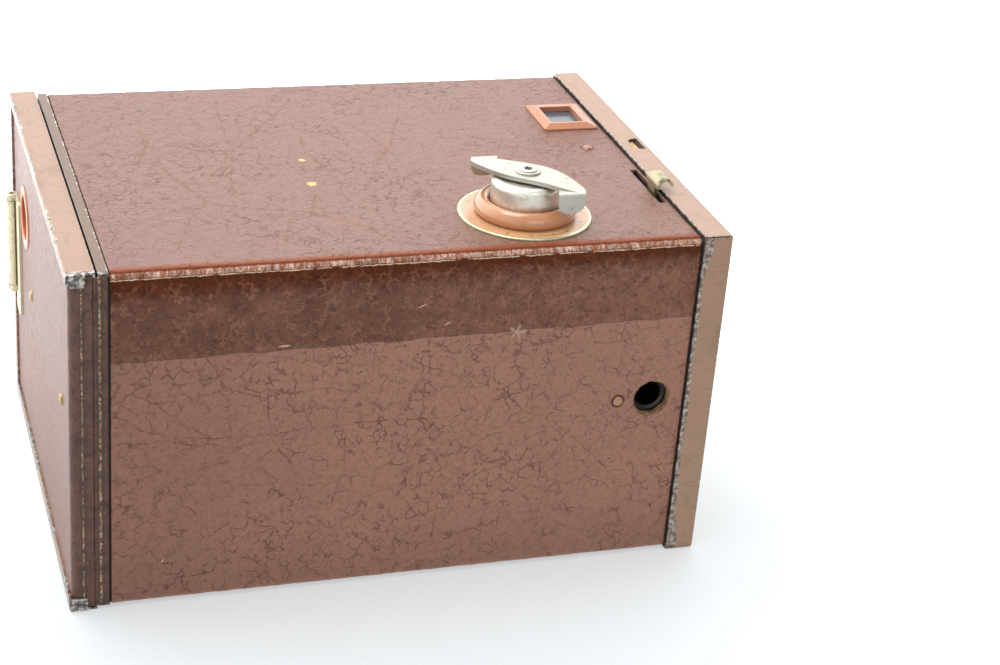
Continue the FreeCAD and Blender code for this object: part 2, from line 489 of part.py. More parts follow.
CUP_Z0, CUP_Z1 = 77.9 + 0.3, 91.0
CUP_R = 8.1
cup = cyl("z", (KEY_X, KEY_Y, W + 0.05), CUP_R, CUP_Z1 - W - 0.05)
cup = fillet(cup, 1.5, lambda e: e.BoundBox.ZMin > CUP_Z1 - 0.01)
cup = cup.fuse(cyl("z", (KEY_X, KEY_Y, CUP_Z0), 7.4, 6.0)).removeSplitter()
ci = cyl("z", (KEY_X, KEY_Y, CUP_Z0 + 0.7), 6.5, CUP_Z1 - CUP_Z0 - 1.5)
ci = fillet(ci, 0.8, lambda e: e.BoundBox.ZMin > CUP_Z1 - 0.9)
cup = cup.cut(ci).cut(cyl("z", (KEY_X, KEY_Y, 70), 3.3, 30))
cup = cup.cut(ring("z", (KEY_X, KEY_Y, CUP_Z1 - 0.25), 5.3, 4.9, 1.0))
cup = cup.cut(cyl("z", (KEY_X, KEY_Y, 70), 5.6, 8.95))
parts["key_cup"] = cup

KS = 2.5                                  # shaft radius
WING_Z = 92.5                             # top of the wing on the axis
sh = cyl("z", (KEY_X, KEY_Y, 72.8), KS, WING_Z - 1.15 - 72.8).fuse(cyl("z", (KEY_X, KEY_Y, 79.0), 5.4, 0.7))
sh = sh.fuse(cyl("z", (KEY_X, KEY_Y, WING_Z - 1.3), 1.38, 1.5))
head = cyl("z", (KEY_X, KEY_Y, WING_Z + 0.02), 2.95, 0.42)
head = fillet(head, 0.25, lambda e: e.BoundBox.ZMin > WING_Z + 0.43)
top2 = cyl("z", (KEY_X, KEY_Y, WING_Z + 0.3), 2.15, 0.4)
top2 = fillet(top2, 0.18, lambda e: e.BoundBox.ZMin > WING_Z + 0.69)
head = head.fuse(top2)
star = [(1.25 * (1.0 if i % 2 else 0.62), math.radians(30 * i)) for i in range(12)]
sh = sh.fuse(head).cut(poly([(KEY_X + r * math.cos(t), KEY_Y + r * math.sin(t), WING_Z - 0.1) for r, t in star], (0, 0, 2.0)))
blade = box(KEY_X - 3.5, KEY_X + 3.5, KEY_Y - 0.75, KEY_Y + 0.75, 69.6, 73.2)
sh = sh.fuse(blade).removeSplitter()
parts["key_shaft"] = sh
parts["key_washer"] = ring("z", (KEY_X, KEY_Y, 79.75), 6.2, KS + 0.06, 0.6)
parts["key_spring"] = coil(KEY_X, KEY_Y, 80.75, 89.75, 5.45, 0.7, 4.5)

# wing: leaf outline across the axis at 45 degrees, tips drooping, one finger tab bent down at each end
q = math.sqrt(0.5)
def uv(u, v):
    return (KEY_X + q * u + q * v, KEY_Y - q * u + q * v)
half = [(15.0, -0.9), (14.2, 0.45), (12.3, 1.75), (9.5, 3.1), (6.2, 4.3), (2.8, 4.85), (0.0, 4.7), (-3.7, 4.0), (-7.2, 3.4),
        (-10.5, 3.0), (-13.3, 2.2)]
outline = [uv(u, v) for u, v in half] + [uv(-u, -v) for u, v in half]
flat = spline_plate(outline, 80.0, 16.0)
# slab with the droop: thick arc along the wing direction
arc_t, arc_b = [], []
for i in range(17):
    u = -17.0 + 34.0 * i / 16
    d = 0.95 * (abs(u) / 14.0) ** 2.2
    arc_t.append((u, WING_Z - d))
    arc_b.append((u, WING_Z - 1.0 - d))
pp = [(KEY_X + q * u - q * 8, KEY_Y - q * u - q * 8, z) for u, z in arc_t + list(reversed(arc_b))]
slab = poly(pp, (q * 16, q * 16, 0))
wing = slab.common(flat)
for sgn in (1, -1):
    tab = box(3.5, 9.7, -12.3, -11.3, 87.1, 91.62)
    tab = fillet(tab, 2.3, lambda e: along(e, "y") and e.BoundBox.ZMax < 89)
    top = poly([(3.5, -12.3, 90.72), (9.7, -12.3, 90.72), (10.3, -9.3, 90.72), (8.0, -7.6, 90.72), (4.4, -8.4, 90.72)], (0, 0, 0.9))
    tab = tab.fuse(top).removeSplitter()
    tab = fillet(tab, 0.75, lambda e: along(e, "x") and e.BoundBox.ZMin > 91.6 and e.BoundBox.YMax < -12.2)
    if sgn < 0:
        tab.rotate(V(0, 0, 0), V(0, 0, 1), 180)
    tab.translate(V(KEY_X, KEY_Y, 0))
    wing = wing.fuse(tab)
wing = wing.cut(cyl("z", (KEY_X, KEY_Y, 80), 1.4, 20)).removeSplitter()
parts["key_wing"] = wing

# ---- film carrier ------------------------------------------------------------------------------------------------
CA_X0, CA_X1 = 8.2, 119.5
SZ0, SZ1 = in_z0 + 0.4, 8.0             # lower side plate
TZ0, TZ1 = 74.6, in_z1 - 0.5            # upper side plate
FEED_Y = H - KEY_Y
ROLL_X, ROLL_R = 11.2, 2.5
ROLL_Y = (8.2, H - 8.2)
up = box(CA_X0, CA_X1, in_y0 + 0.4, in_y1 - 0.4, TZ0, TZ1)
up = up.cut(cyl("z", (KEY_X, KEY_Y, 70), 6.5, 12))
low = box(CA_X0, CA_X1, in_y0 + 0.4, in_y1 - 0.4, SZ0, SZ1)
PIN_R = 2.4
for (px, py) in ((KEY_X, KEY_Y), (KEY_X, FEED_Y)):
    low = low.cut(cyl("z", (px, py, 0), PIN_R, 12))
up = up.cut(cyl("z", (KEY_X, FEED_Y, 70), PIN_R, 12))
for ry in ROLL_Y:
    up = up.cut(cyl("z", (ROLL_X, ry, 74.0), 1.05, 3.0))
    low = low.cut(cyl("z", (ROLL_X, ry, 5.8), 1.05, 3.0))
parts["carrier_upper_side"] = up
parts["carrier_lower_side"] = low

GX0, GX1 = 9.6, 10.6
gate = box(GX0, GX1, ROLL_Y[0] + 3.2, ROLL_Y[1] - 3.2, SZ1, TZ0)
plate = box(117.9, CA_X1, in_y0 + 0.4, in_y1 - 0.4, SZ1, TZ0)
def rect(x, hy2, hz2):
    return Part.makePolygon([V(x, OPT_Y - hy2, OPT_Z - hz2), V(x, OPT_Y + hy2, OPT_Z - hz2), V(x, OPT_Y + hy2, OPT_Z + hz2),
                             V(x, OPT_Y - hy2, OPT_Z + hz2), V(x, OPT_Y - hy2, OPT_Z - hz2)])
out = Part.makeLoft([rect(GX1 - 0.2, 41.9, 29.4), rect(118.0, 9.9, 9.9)], True, True)
inn = Part.makeLoft([rect(GX0 - 1.0, 41.3, 28.8), rect(121.0, 8.2, 8.2)], True, True)
parts["light_cone"] = gate.fuse(plate).fuse(out).cut(inn).removeSplitter()

pins = None
for (px, py, z0, z1) in ((KEY_X, KEY_Y, SZ0, 11.6), (KEY_X, FEED_Y, SZ0, 11.6), (KEY_X, FEED_Y, 71.0, TZ1)):
    p = cyl("z", (px, py, z0), PIN_R, z1 - z0)
    pins = p if pins is None else pins.fuse(p)
parts["spool_pins"] = pins
for nm, ry in (("take_up_roller", ROLL_Y[0]), ("feed_roller", ROLL_Y[1])):
    r = cyl("z", (ROLL_X, ry, SZ1 + 0.3), ROLL_R, TZ0 - SZ1 - 0.6)
    r = r.fuse(cyl("z", (ROLL_X, ry, 6.0), 1.0, 70.4)).removeSplitter()
    parts[nm] = r

# wooden-cored spool with sheet flanges; the key's blade enters the slot in its upper end
S0, S1 = 8.6, 73.9
spool = cyl("z", (KEY_X, KEY_Y, S0), 5.9, S1 - S0)
for z in (S0, S1 - 0.9):
    spool = spool.fuse(cyl("z", (KEY_X, KEY_Y, z), 12.4, 0.9))
spool = spool.cut(cyl("z", (KEY_X, KEY_Y, S0 - 1), PIN_R + 0.1, 5.2))
spool = spool.cut(cyl("z", (KEY_X, KEY_Y, S1 - 6.0), 2.75, 8))
spool = spool.cut(box(KEY_X - 3.9, KEY_X + 3.9, KEY_Y - 1.0, KEY_Y + 1.0, S1 - 5.6, S1 + 1))
spool = spool.cut(box(KEY_X - 8, KEY_X + 8, KEY_Y - 0.6, KEY_Y + 0.6, 20.0, 60.0))
parts["take_up_spool"] = spool.removeSplitter()

# ---- carrying strap on the camera's top -------------------------------------------------------------------------------
CLIP_Y0 = skin_y1 + 0.35
studs = None
for sx in STUD_X:
    s = cyl("y", (sx, 102.4, STRAP_Z), 1.78, 6.6)
    s = s.fuse(Part.makeSphere(5.0, V(sx, 104.9, STRAP_Z)).common(box(sx - 4, sx + 4, CLIP_Y0 + 1.4, 112, STRAP_Z - 4, STRAP_Z + 4)))
    s = s.removeSplitter()
    studs = s if studs is None else studs.fuse(s)
parts["handle_studs"] = studs


def clip(sx, d):
    x0, x1 = sorted((sx - d * 10.5, sx + d * 11.5))
    c = box(x0, x1, CLIP_Y0, CLIP_Y0 + 1.0, STRAP_Z - 6.5, STRAP_Z + 6.5)
    c = fillet(c, 4.0, lambda e: along(e, "y") and abs(e.Vertexes[0].Point.x - (sx - d * 10.5)) < 0.1)
    a0, a1 = sorted((sx + d * 0.4, sx - d * 6.6))
    s = box(a0, a1, CLIP_Y0 - 1, CLIP_Y0 + 3, STRAP_Z - 2.1, STRAP_Z + 2.1)
    s = s.fuse(cyl("y", (a0, CLIP_Y0 - 1, STRAP_Z), 2.1, 4)).fuse(cyl("y", (a1, CLIP_Y0 - 1, STRAP_Z), 2.1, 4))
    return c.cut(s).removeSplitter()


parts["handle_rear_clip"] = clip(STUD_X[0], 1)
parts["handle_front_clip"] = clip(STUD_X[1], -1)
bot, top2 = [], []
X0s, X1s = STUD_X[0] + 5.5, STUD_X[1] - 5.5
Y0s = CLIP_Y0 + 1.0
for i in range(41):
    x = X0s + (X1s - X0s) * i / 40
    t = (x - X0s) / (X1s - X0s)
    bow = (STRAP_TOP - 2.2 - Y0s) * math.sin(math.pi * min(1, max(0, (t - 0.1) / 0.8))) ** 2
    bot.append((x, Y0s + bow, STRAP_Z - 6.0))
    top2.append((x, Y0s + bow + 2.2, STRAP_Z - 6.0))
parts["handle_strap"] = poly(bot + list(reversed(top2)), (0, 0, 12.0))

# ---- write one STEP file per piece, in the row frame -----------------------------------------------------------------
for name, shape in parts.items():
    s = shape.copy()
    s.translate(V(-ORIGIN.x, -ORIGIN.y, -ORIGIN.z))
    n = len(s.Solids)
    print(name, "solids", n, "valid", s.isValid(), "vol %.1f" % s.Volume,
          "x %.2f %.2f y %.2f %.2f z %.2f %.2f" % (s.BoundBox.XMin + ORIGIN.x, s.BoundBox.XMax + ORIGIN.x,
                                                   s.BoundBox.YMin + ORIGIN.y, s.BoundBox.YMax + ORIGIN.y, s.BoundBox.ZMin, s.BoundBox.ZMax))
    s.exportStep("parts/%s.step" % name)
print("nodes", len(parts))
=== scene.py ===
import math
import bpy
import bmesh
import numpy as np
from mathutils import Matrix, Vector, noise


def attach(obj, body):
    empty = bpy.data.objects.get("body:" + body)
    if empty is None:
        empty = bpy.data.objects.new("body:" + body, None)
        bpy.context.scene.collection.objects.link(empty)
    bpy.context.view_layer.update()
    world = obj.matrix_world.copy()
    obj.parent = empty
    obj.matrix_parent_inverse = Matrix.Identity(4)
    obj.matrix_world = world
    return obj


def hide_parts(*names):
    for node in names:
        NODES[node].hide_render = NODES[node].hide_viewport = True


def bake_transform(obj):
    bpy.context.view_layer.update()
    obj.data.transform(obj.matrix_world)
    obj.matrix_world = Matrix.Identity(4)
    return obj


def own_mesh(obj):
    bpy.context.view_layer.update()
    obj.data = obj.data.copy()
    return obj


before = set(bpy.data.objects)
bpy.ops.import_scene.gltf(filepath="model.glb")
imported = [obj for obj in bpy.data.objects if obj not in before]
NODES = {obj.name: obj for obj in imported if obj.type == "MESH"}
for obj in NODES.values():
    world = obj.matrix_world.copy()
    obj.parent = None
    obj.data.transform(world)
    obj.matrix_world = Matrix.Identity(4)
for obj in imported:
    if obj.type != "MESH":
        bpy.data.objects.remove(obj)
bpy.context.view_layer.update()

SCENE = bpy.context.scene

# The design's own millimetre coordinates: X from the hinged back, Y from the camera's bottom, Z from its left side.
OX, OY = 74.35, 56.35
L, H, W = 149.0, 107.1, 82.6
KEY_X, KEY_Y = 105.4, 19.4


def P(x, y, z):
    return Vector(((x - OX) / 1000.0, (y - OY) / 1000.0, z / 1000.0))


# ------------------------------------------------------------------------------------------------
# camera, floor, light
# ------------------------------------------------------------------------------------------------
cam_data = bpy.data.cameras.new("camera")
cam = bpy.data.objects.new("camera", cam_data)
SCENE.collection.objects.link(cam)
SCENE.camera = cam
right = Vector((0.951179, -0.299044, 0.076358))
down = Vector((-0.068825, -0.446688, -0.892038))
fwd = Vector((0.300867, 0.843233, -0.445463))
m = Matrix.Identity(4)
for i, col in enumerate((right, -down, -fwd)):
    for j in range(3):
        m[j][i] = col[j]
cam.matrix_world = Matrix.Translation(P(-49.325, -404.791, 276.210)) @ m
cam_data.sensor_fit = "HORIZONTAL"
cam_data.sensor_width = 36.0
cam_data.lens = 77.914
cam_data.clip_start = 0.01
cam_data.clip_end = 60.0
cam_data.dof.use_dof = False

SCENE.view_settings.view_transform = "Standard"
SCENE.view_settings.look = "None"


# ------------------------------------------------------------------------------------------------
# small node-graph writer; textures read the design's millimetres
# ------------------------------------------------------------------------------------------------
def lin(r, g, b):
    def f(c):
        c /= 255.0
        return c / 12.92 if c <= 0.04045 else ((c + 0.055) / 1.055) ** 2.4
    return (f(r), f(g), f(b), 1.0)


class G:
    def __init__(self, name):
        self.mat = bpy.data.materials.new(name)
        self.mat.use_nodes = True
        self.t = self.mat.node_tree
        self.t.nodes.clear()
        self.out = self.t.nodes.new("ShaderNodeOutputMaterial")
        self.b = self.t.nodes.new("ShaderNodeBsdfPrincipled")
        self.t.links.new(self.b.outputs[0], self.out.inputs[0])
        tc = self.t.nodes.new("ShaderNodeTexCoord")
        mp = self.t.nodes.new("ShaderNodeMapping")
        mp.inputs["Scale"].default_value = (1000, 1000, 1000)
        mp.inputs["Location"].default_value = (OX, OY, 0)
        self.t.links.new(tc.outputs["Object"], mp.inputs[0])
        self.co = mp.outputs[0]
        s = self.t.nodes.new("ShaderNodeSeparateXYZ")
        self.t.links.new(self.co, s.inputs[0])
        self.x, self.y, self.z = s.outputs[0], s.outputs[1], s.outputs[2]

    def put(self, sock, v):
        if isinstance(v, bpy.types.NodeSocket):
            self.t.links.new(v, sock)
        elif v is not None:
            if sock.type == "RGBA" and isinstance(v, (int, float)):
                v = (v, v, v, 1)
            if sock.type == "VECTOR" and isinstance(v, (int, float)):
                v = (v, v, v)
            sock.default_value = v

    def set(self, **kw):
        for k, v in kw.items():
            self.put(self.b.inputs[k.replace("_", " ")], v)
        return self

    def m(self, op, a, b=None, c=None, clamp=False):
        n = self.t.nodes.new("ShaderNodeMath")
        n.operation = op
        n.use_clamp = clamp
        self.put(n.inputs[0], a)
        if b is not None:
            self.put(n.inputs[1], b)
        if c is not None:
            self.put(n.inputs[2], c)
        return n.outputs[0]

    def add(self, *v):
        r = v[0]
        for q in v[1:]:
            r = self.m("ADD", r, q)
        return r

    def mul(self, *v):
        r = v[0]
        for q in v[1:]:
            r = self.m("MULTIPLY", r, q)
        return r

    def step(self, v, a, b, out0=0.0, out1=1.0):
        """smooth step of v from a to b"""
        n = self.t.nodes.new("ShaderNodeMapRange")
        n.interpolation_type = "SMOOTHSTEP"
        self.put(n.inputs["Value"], v)
        n.inputs["From Min"].default_value = a
        n.inputs["From Max"].default_value = b
        n.inputs["To Min"].default_value = out0
        n.inputs["To Max"].default_value = out1
        return n.outputs[0]

    def noise(self, scale, detail=2.0, rough=0.5, dist=0.0, vec=None, color=False):
        n = self.t.nodes.new("ShaderNodeTexNoise")
        self.put(n.inputs["Vector"], vec if vec is not None else self.co)
        n.inputs["Scale"].default_value = scale
        n.inputs["Detail"].default_value = detail
        n.inputs["Roughness"].default_value = rough
        n.inputs["Distortion"].default_value = dist
        return n.outputs[1] if color else n.outputs[0]

    def voro(self, scale, feature="F1", vec=None, rand=1.0, color=False, smooth=0.5):
        n = self.t.nodes.new("ShaderNodeTexVoronoi")
        n.feature = feature
        self.put(n.inputs["Vector"], vec if vec is not None else self.co)
        n.inputs["Scale"].default_value = scale
        n.inputs["Randomness"].default_value = rand
        if feature == "SMOOTH_F1":
            n.inputs["Smoothness"].default_value = smooth
        return n.outputs["Color"] if color else n.outputs["Distance"]

    def vec(self, x, y, z):
        n = self.t.nodes.new("ShaderNodeCombineXYZ")
        for i, v in enumerate((x, y, z)):
            self.put(n.inputs[i], v)
        return n.outputs[0]

    def vmath(self, op, a, b=None, scale=None):
        n = self.t.nodes.new("ShaderNodeVectorMath")
        n.operation = op
        self.put(n.inputs[0], a)
        if b is not None:
            self.put(n.inputs[1], b)
        if scale is not None:
            self.put(n.inputs["Scale"], scale)
        return n.outputs[1] if op in ("LENGTH", "DISTANCE", "DOT_PRODUCT") else n.outputs[0]

    def warp(self, scale, amount, vec=None, detail=2.0):
        c = self.noise(scale, detail, color=True, vec=vec)
        c = self.vmath("SUBTRACT", c, (0.5, 0.5, 0.5))
        c = self.vmath("SCALE", c, scale=amount)
        return self.vmath("ADD", vec if vec is not None else self.co, c)

    def stretch(self, sx, sy, sz, vec=None, rot=(0, 0, 0)):
        n = self.t.nodes.new("ShaderNodeMapping")
        self.put(n.inputs[0], vec if vec is not None else self.co)
        n.inputs["Scale"].default_value = (sx, sy, sz)
        n.inputs["Rotation"].default_value = rot
        return n.outputs[0]

    def mix(self, f, a, b, blend="MIX"):
        n = self.t.nodes.new("ShaderNodeMix")
        n.data_type = "RGBA"
        n.blend_type = blend
        n.clamp_factor = True
        self.put(n.inputs[0], f)
        self.put(n.inputs[6], a)
        self.put(n.inputs[7], b)
        return n.outputs[2]

    def fmix(self, f, a, b):
        n = self.t.nodes.new("ShaderNodeMix")
        n.data_type = "FLOAT"
        n.clamp_factor = True
        self.put(n.inputs[0], f)
        self.put(n.inputs[2], a)
        self.put(n.inputs[3], b)
        return n.outputs[0]

    def bump(self, height, dist_mm, strength=1.0, normal=None):
        n = self.t.nodes.new("ShaderNodeBump")
        n.inputs["Strength"].default_value = strength
        n.inputs["Distance"].default_value = dist_mm / 1000.0
        self.put(n.inputs["Height"], height)
        if normal is not None:
            self.put(n.inputs["Normal"], normal)
        return n.outputs[0]

    def edge(self, radius_mm, lo=0.02, hi=0.25):
        """1 near sharp edges"""
        bv = self.t.nodes.new("ShaderNodeBevel")
        bv.samples = 4
        bv.inputs["Radius"].default_value = radius_mm / 1000.0
        g = self.t.nodes.new("ShaderNodeNewGeometry")
        d = self.vmath("DOT_PRODUCT", bv.outputs[0], g.outputs["Normal"])
        return self.step(self.m("SUBTRACT", 1.0, d), lo, hi)

    def normals(self):
        tc = self.t.nodes.new("ShaderNodeTexCoord")
        s = self.t.nodes.new("ShaderNodeSeparateXYZ")
        self.t.links.new(tc.outputs["Normal"], s.inputs[0])
        return s.outputs


# ------------------------------------------------------------------------------------------------
# materials
# ------------------------------------------------------------------------------------------------
# long creases of the covering, as (x, z) on the bottom face and (x, y) on the key side
NEAR_CREASES = [
    [(27.5, 41.5), (44.1, 40.7), (51.4, 41.7), (64.0, 42.1), (81.3, 42.0)],
    [(13.7, 31.4), (19.7, 34.1), (24.0, 38.6), (30.4, 40.0), (36.9, 38.1), (43.4, 39.5)],
    [(27.6, 32.8), (34.7, 37.1), (43.4, 40.8)],
    [(16.1, 56.1), (17.5, 52.8), (22.4, 46.8), (31.1, 41.1)],
    [(13.3, 41.2), (20.4, 41.4), (26.8, 39.9)],
    [(43.0, 54.2), (44.1, 39.9), (49.5, 32.7), (51.3, 22.3)],
    [(61.0, 40.8), (61.1, 31.5), (58.2, 19.9)],
    [(81.4, 40.5), (75.8, 33.4), (75.9, 24.0)],
    [(83.6, 19.7), (83.0, 10.1)],
    [(17.5, 52.8), (23.8, 54.7)],
    [(109.6, 38.7), (116.6, 32.0), (124.7, 24.2), (127.9, 17.7)],
    [(26.6, 51.2), (34.4, 53.0), (43.1, 49.8)]]
KEY_CREASES = [
    [(49.3, 97.0), (47.5, 77.3), (47.3, 64.0), (42.4, 54.3), (38.4, 47.7)],
    [(34.8, 33.5), (29.6, 24.0), (25.2, 10.6)],
    [(47.3, 64.0), (55.8, 76.4), (66.8, 93.3)],
    [(27.6, 77.8), (29.8, 52.7), (35.4, 35.0), (43.9, 30.9), (55.2, 27.2)],
    [(55.2, 27.2), (63.2, 22.4), (69.9, 12.8), (73.9, 5.2)],
    [(64.1, 60.8), (66.7, 49.8), (75.6, 47.1), (84.1, 42.8)],
    [(27.9, 79.5), (27.6, 69.3), (23.9, 58.2)],
    [(60.9, 75.8), (65.3, 71.8), (64.1, 60.8)],
    [(79.3, 77.3), (83.4, 64.6), (84.8, 57.6)],
    [(93.5, 84.9), (86.0, 64.3), (79.8, 53.2)],
    [(59.9, 39.5), (61.0, 36.3), (57.1, 24.7)],
    [(52.1, 23.9), (48.7, 11.4)],
    [(32.1, 70.4), (39.3, 64.6), (47.3, 64.0)],
    [(47.3, 64.0), (43.6, 47.8), (42.4, 37.1)]]
YELLOW = [(62.3, 56.5, 1.1), (61.4, 42.1, 1.6)]


def polyline(g, u, v, pts):
    """distance from (u, v) to a broken line"""
    best = None
    for (ax, ay), (bx, by) in zip(pts[:-1], pts[1:]):
        dx, dy = bx - ax, by - ay
        l2 = dx * dx + dy * dy
        pu, pv = g.add(u, -ax), g.add(v, -ay)
        t = g.m("ADD", g.mul(pu, dx / l2), g.mul(pv, dy / l2), clamp=True)
        d = g.vmath("LENGTH", g.vec(g.add(pu, g.mul(t, -dx)), g.add(pv, g.mul(t, -dy)), 0.0))
        best = d if best is None else g.m("MINIMUM", best, d)
    return best


def leatherette(name, side="", hinge=False, dark=1.0):
    """side is "bottom" or "key" for the two marked faces of the box covering"""
    g = G(name)
    band = side != ""
    near = g.step(g.y, 1.5, 2.3, 1.0, 0.0)                 # the camera's bottom face
    key = g.mul(g.step(g.z, 80.2, 81.4), g.m("SUBTRACT", 1.0, near))
    wa = g.warp(0.24, 5.2, detail=5.0)
    wb = g.warp(0.5, 1.9, detail=4.0)
    # thin broken crackle, two sizes
    l1 = g.step(g.voro(0.17, "DISTANCE_TO_EDGE", vec=wa), 0.004, 0.026, 1.0, 0.0)
    l2 = g.step(g.voro(0.34, "DISTANCE_TO_EDGE", vec=wb), 0.012, 0.060, 1.0, 0.0)
    zone = g.step(g.noise(0.045, 2.0, 0.5), 0.40, 0.60)
    brk1 = g.step(g.noise(0.21, 3.0, 0.6), 0.45, 0.62)
    brk2 = g.step(g.noise(0.42, 3.0, 0.6, vec=g.stretch(1, 1, 1, rot=(0.4, 0.9, 1.3))), 0.44, 0.58)
    l1 = g.mul(l1, g.add(0.08, g.mul(brk1, 0.72)))
    l2 = g.mul(l2, brk2, g.add(0.30, g.mul(zone, 0.70)))
    fine = g.noise(1.5, 4.0, 0.65, 0.8)
    crinkle = g.noise(0.55, 5.0, 0.66, 1.1, vec=wb)
    blotch = g.noise(0.05, 3.0, 0.55)
    specks = g.step(g.noise(1.15, 3.0, 0.6, 0.6), 0.61, 0.68)
    # colour: the bottom face is painted lighter and greyer than the rest, a painted sheen standing for the veil of
    # reflected light; the painted sheen is weaker towards the back end and towards the floor edge
    base = g.mix(blotch, lin(112, 67, 50), lin(128, 80, 61))
    bottom_face_col = g.mix(blotch, lin(142, 95, 75), lin(162, 111, 89))
    bottom_face_col = g.mix(g.step(g.x, 70.0, 5.0, 0.0, 0.38), bottom_face_col, lin(108, 68, 52))
    bottom_face_col = g.mix(g.step(g.z, 22.0, 0.0, 0.0, 0.30), bottom_face_col, lin(108, 72, 58))
    if hinge:
        bottom_face_col = g.mix(blotch, lin(88, 53, 39), lin(102, 62, 46))
    base = g.mix(near, base, bottom_face_col)
    base = g.mix(g.mul(g.step(fine, 0.50, 0.66), 0.22), base, lin(92, 52, 37))
    base = g.mix(g.mul(g.step(crinkle, 0.55, 0.66), 0.26), base, lin(96, 56, 38))
    base = g.mix(g.mul(specks, 0.50), base, lin(72, 42, 30))
    on_back = g.step(g.x, 0.6, 1.6, 0.45, 1.0)
    l1, l2 = g.mul(l1, on_back), g.mul(l2, on_back)
    veincol = g.mix(near, lin(108, 72, 40), lin(88, 48, 28))
    base = g.mix(g.mul(l1, 0.86), base, veincol)
    base = g.mix(g.mul(l2, 0.62), base, g.mix(g.step(fine, 0.45, 0.55), lin(64, 36, 24), veincol))
    lines = g.m("MAXIMUM", l1, g.mul(l2, 0.8))
    relief = lines
    wet = 0.0
    if band:
        # the long creases: across the bottom face and branching over the key side
        su = g.t.nodes.new("ShaderNodeSeparateXYZ")
        g.t.links.new(g.warp(0.42, 1.7, detail=5.0), su.inputs[0])
        u, v, w = su.outputs[0], su.outputs[1], su.outputs[2]
        dist = None
        for pts in (NEAR_CREASES if side == "bottom" else KEY_CREASES):
            d = polyline(g, u, w if side == "bottom" else v, pts)
            dist = d if dist is None else g.m("MINIMUM", dist, d)
        if side == "bottom":
            crease = g.mul(g.step(dist, 0.05, 0.24, 1.0, 0.0), g.add(0.35, g.mul(brk1, 0.65)))
            base = g.mix(g.mul(crease, 0.85), base, lin(104, 54, 26))
        else:
            crease = g.mul(g.step(dist, 0.08, 0.60, 1.0, 0.0), key, g.add(0.18, g.mul(brk2, 0.60)))
            base = g.mix(g.mul(crease, 0.62), base, lin(124, 84, 46))
        lines = g.m("MAXIMUM", lines, crease)
    if side == "key":
        # two small gold flecks
        for fx, fy, fr in YELLOW:
            fd = g.add(g.vmath("LENGTH", g.vec(g.add(g.x, -fx), g.add(g.y, -fy), 0.0)), g.mul(g.add(fine, -0.5), 2.4))
            base = g.mix(g.mul(g.step(fd, fr * 0.5, fr * 0.8, 1.0, 0.0), key), base, lin(236, 190, 84))
    if side == "bottom":
        # darker band along the upper part of the bottom face, with less specular: its darker colour is a painted
        # reflection of the dark room above, darker still towards the top edge and lighter towards the front; the pale
        # crack web and specks in it are the leather's own
        edge_n = g.mul(g.add(g.noise(0.10, 3.0), -0.5), 1.6)
        zz = g.add(g.z, edge_n, g.mul(g.x, -0.012))
        bm = g.mul(g.step(zz, 60.7, 61.5), near)
        top = g.mul(g.step(zz, 71.0, 78.0), near)
        patch = g.step(g.noise(0.08, 3.0, 0.6), 0.36, 0.64)
        net = g.step(g.voro(0.42, "DISTANCE_TO_EDGE", vec=g.warp(0.6, 2.6, detail=5.0)), 0.03, 0.12, 1.0, 0.0)
        net = g.mul(net, g.step(g.noise(0.30, 3.0, 0.6), 0.44, 0.58))
        reflection_band_col = g.mix(patch, lin(114, 72, 53), lin(90, 52, 35))
        reflection_band_col = g.mix(g.step(g.x, 50.0, 130.0, 0.0, 0.55), reflection_band_col, lin(134, 88, 68))
        reflection_band_col = g.mix(g.mul(g.step(crinkle, 0.48, 0.64), 0.60), reflection_band_col, lin(66, 33, 20))
        reflection_band_col = g.mix(g.mul(net, 0.34), reflection_band_col, lin(158, 116, 94))
        reflection_band_col = g.mix(g.mul(specks, 0.7), reflection_band_col, lin(40, 20, 12))
        base = g.mix(g.mul(bm, 0.86), base, reflection_band_col)
        # darker colour near the top edge of the bottom face: more of the painted reflection of the dark room
        reflection_top_col = g.mix(g.mul(net, 0.5), g.mix(g.step(crinkle, 0.44, 0.60), lin(92, 44, 24), lin(66, 29, 15)), lin(146, 96, 72))
        base = g.mix(g.mul(top, 0.80), base, reflection_top_col)
        # dark line painted along the band's lower edge, the edge of the painted reflection
        reflection_edge_line = g.mul(g.step(g.m("ABSOLUTE", g.add(zz, -61.1)), 0.06, 0.22, 1.0, 0.0), near)
        base = g.mix(g.mul(reflection_edge_line, 0.55), base, lin(54, 28, 18))
        wet = g.mul(g.m("MAXIMUM", g.mul(bm, 0.55), top), 0.9)
    if band:
        # edge between key side and bottom: rubbed through to a frayed ridge whose pale streaks are partly a painted
        # highlight; the saturated orange strip above it and the dark strip below it are painted reflections of the dark
        # room where the rounded edge turns away from the light
        q = g.add(g.y, g.z, -82.6)
        rag = g.mul(g.add(g.noise(1.1, 4.0, 0.65), -0.5), 0.9)
        qq = g.add(q, rag)
        rub_and_highlight = g.mul(g.step(qq, -1.45, -0.9), g.step(qq, 0.20, 0.75, 1.0, 0.0))
        edge_zone = g.m("MAXIMUM", near, g.step(g.z, 78.0, 79.0))
        lip = g.mul(g.step(g.m("ABSOLUTE", g.add(qq, 1.50)), 0.05, 0.18, 1.0, 0.0), g.step(g.noise(0.35, 3.0), 0.36, 0.5))
        dark_reflection_strip = g.mul(g.step(q, -0.2, 0.4), g.step(g.add(q, g.mul(rag, 0.6)), 1.6, 4.0, 1.0, 0.0), g.step(g.z, 79.0, 80.0))
        base = g.mix(g.mul(dark_reflection_strip, 0.92), base, lin(138, 64, 26))
        # dark strip under the ridge on the bottom face: painted reflection of the dark room
        base = g.mix(g.mul(near, g.step(q, -4.6, -2.0), 0.75), base, lin(84, 38, 18))
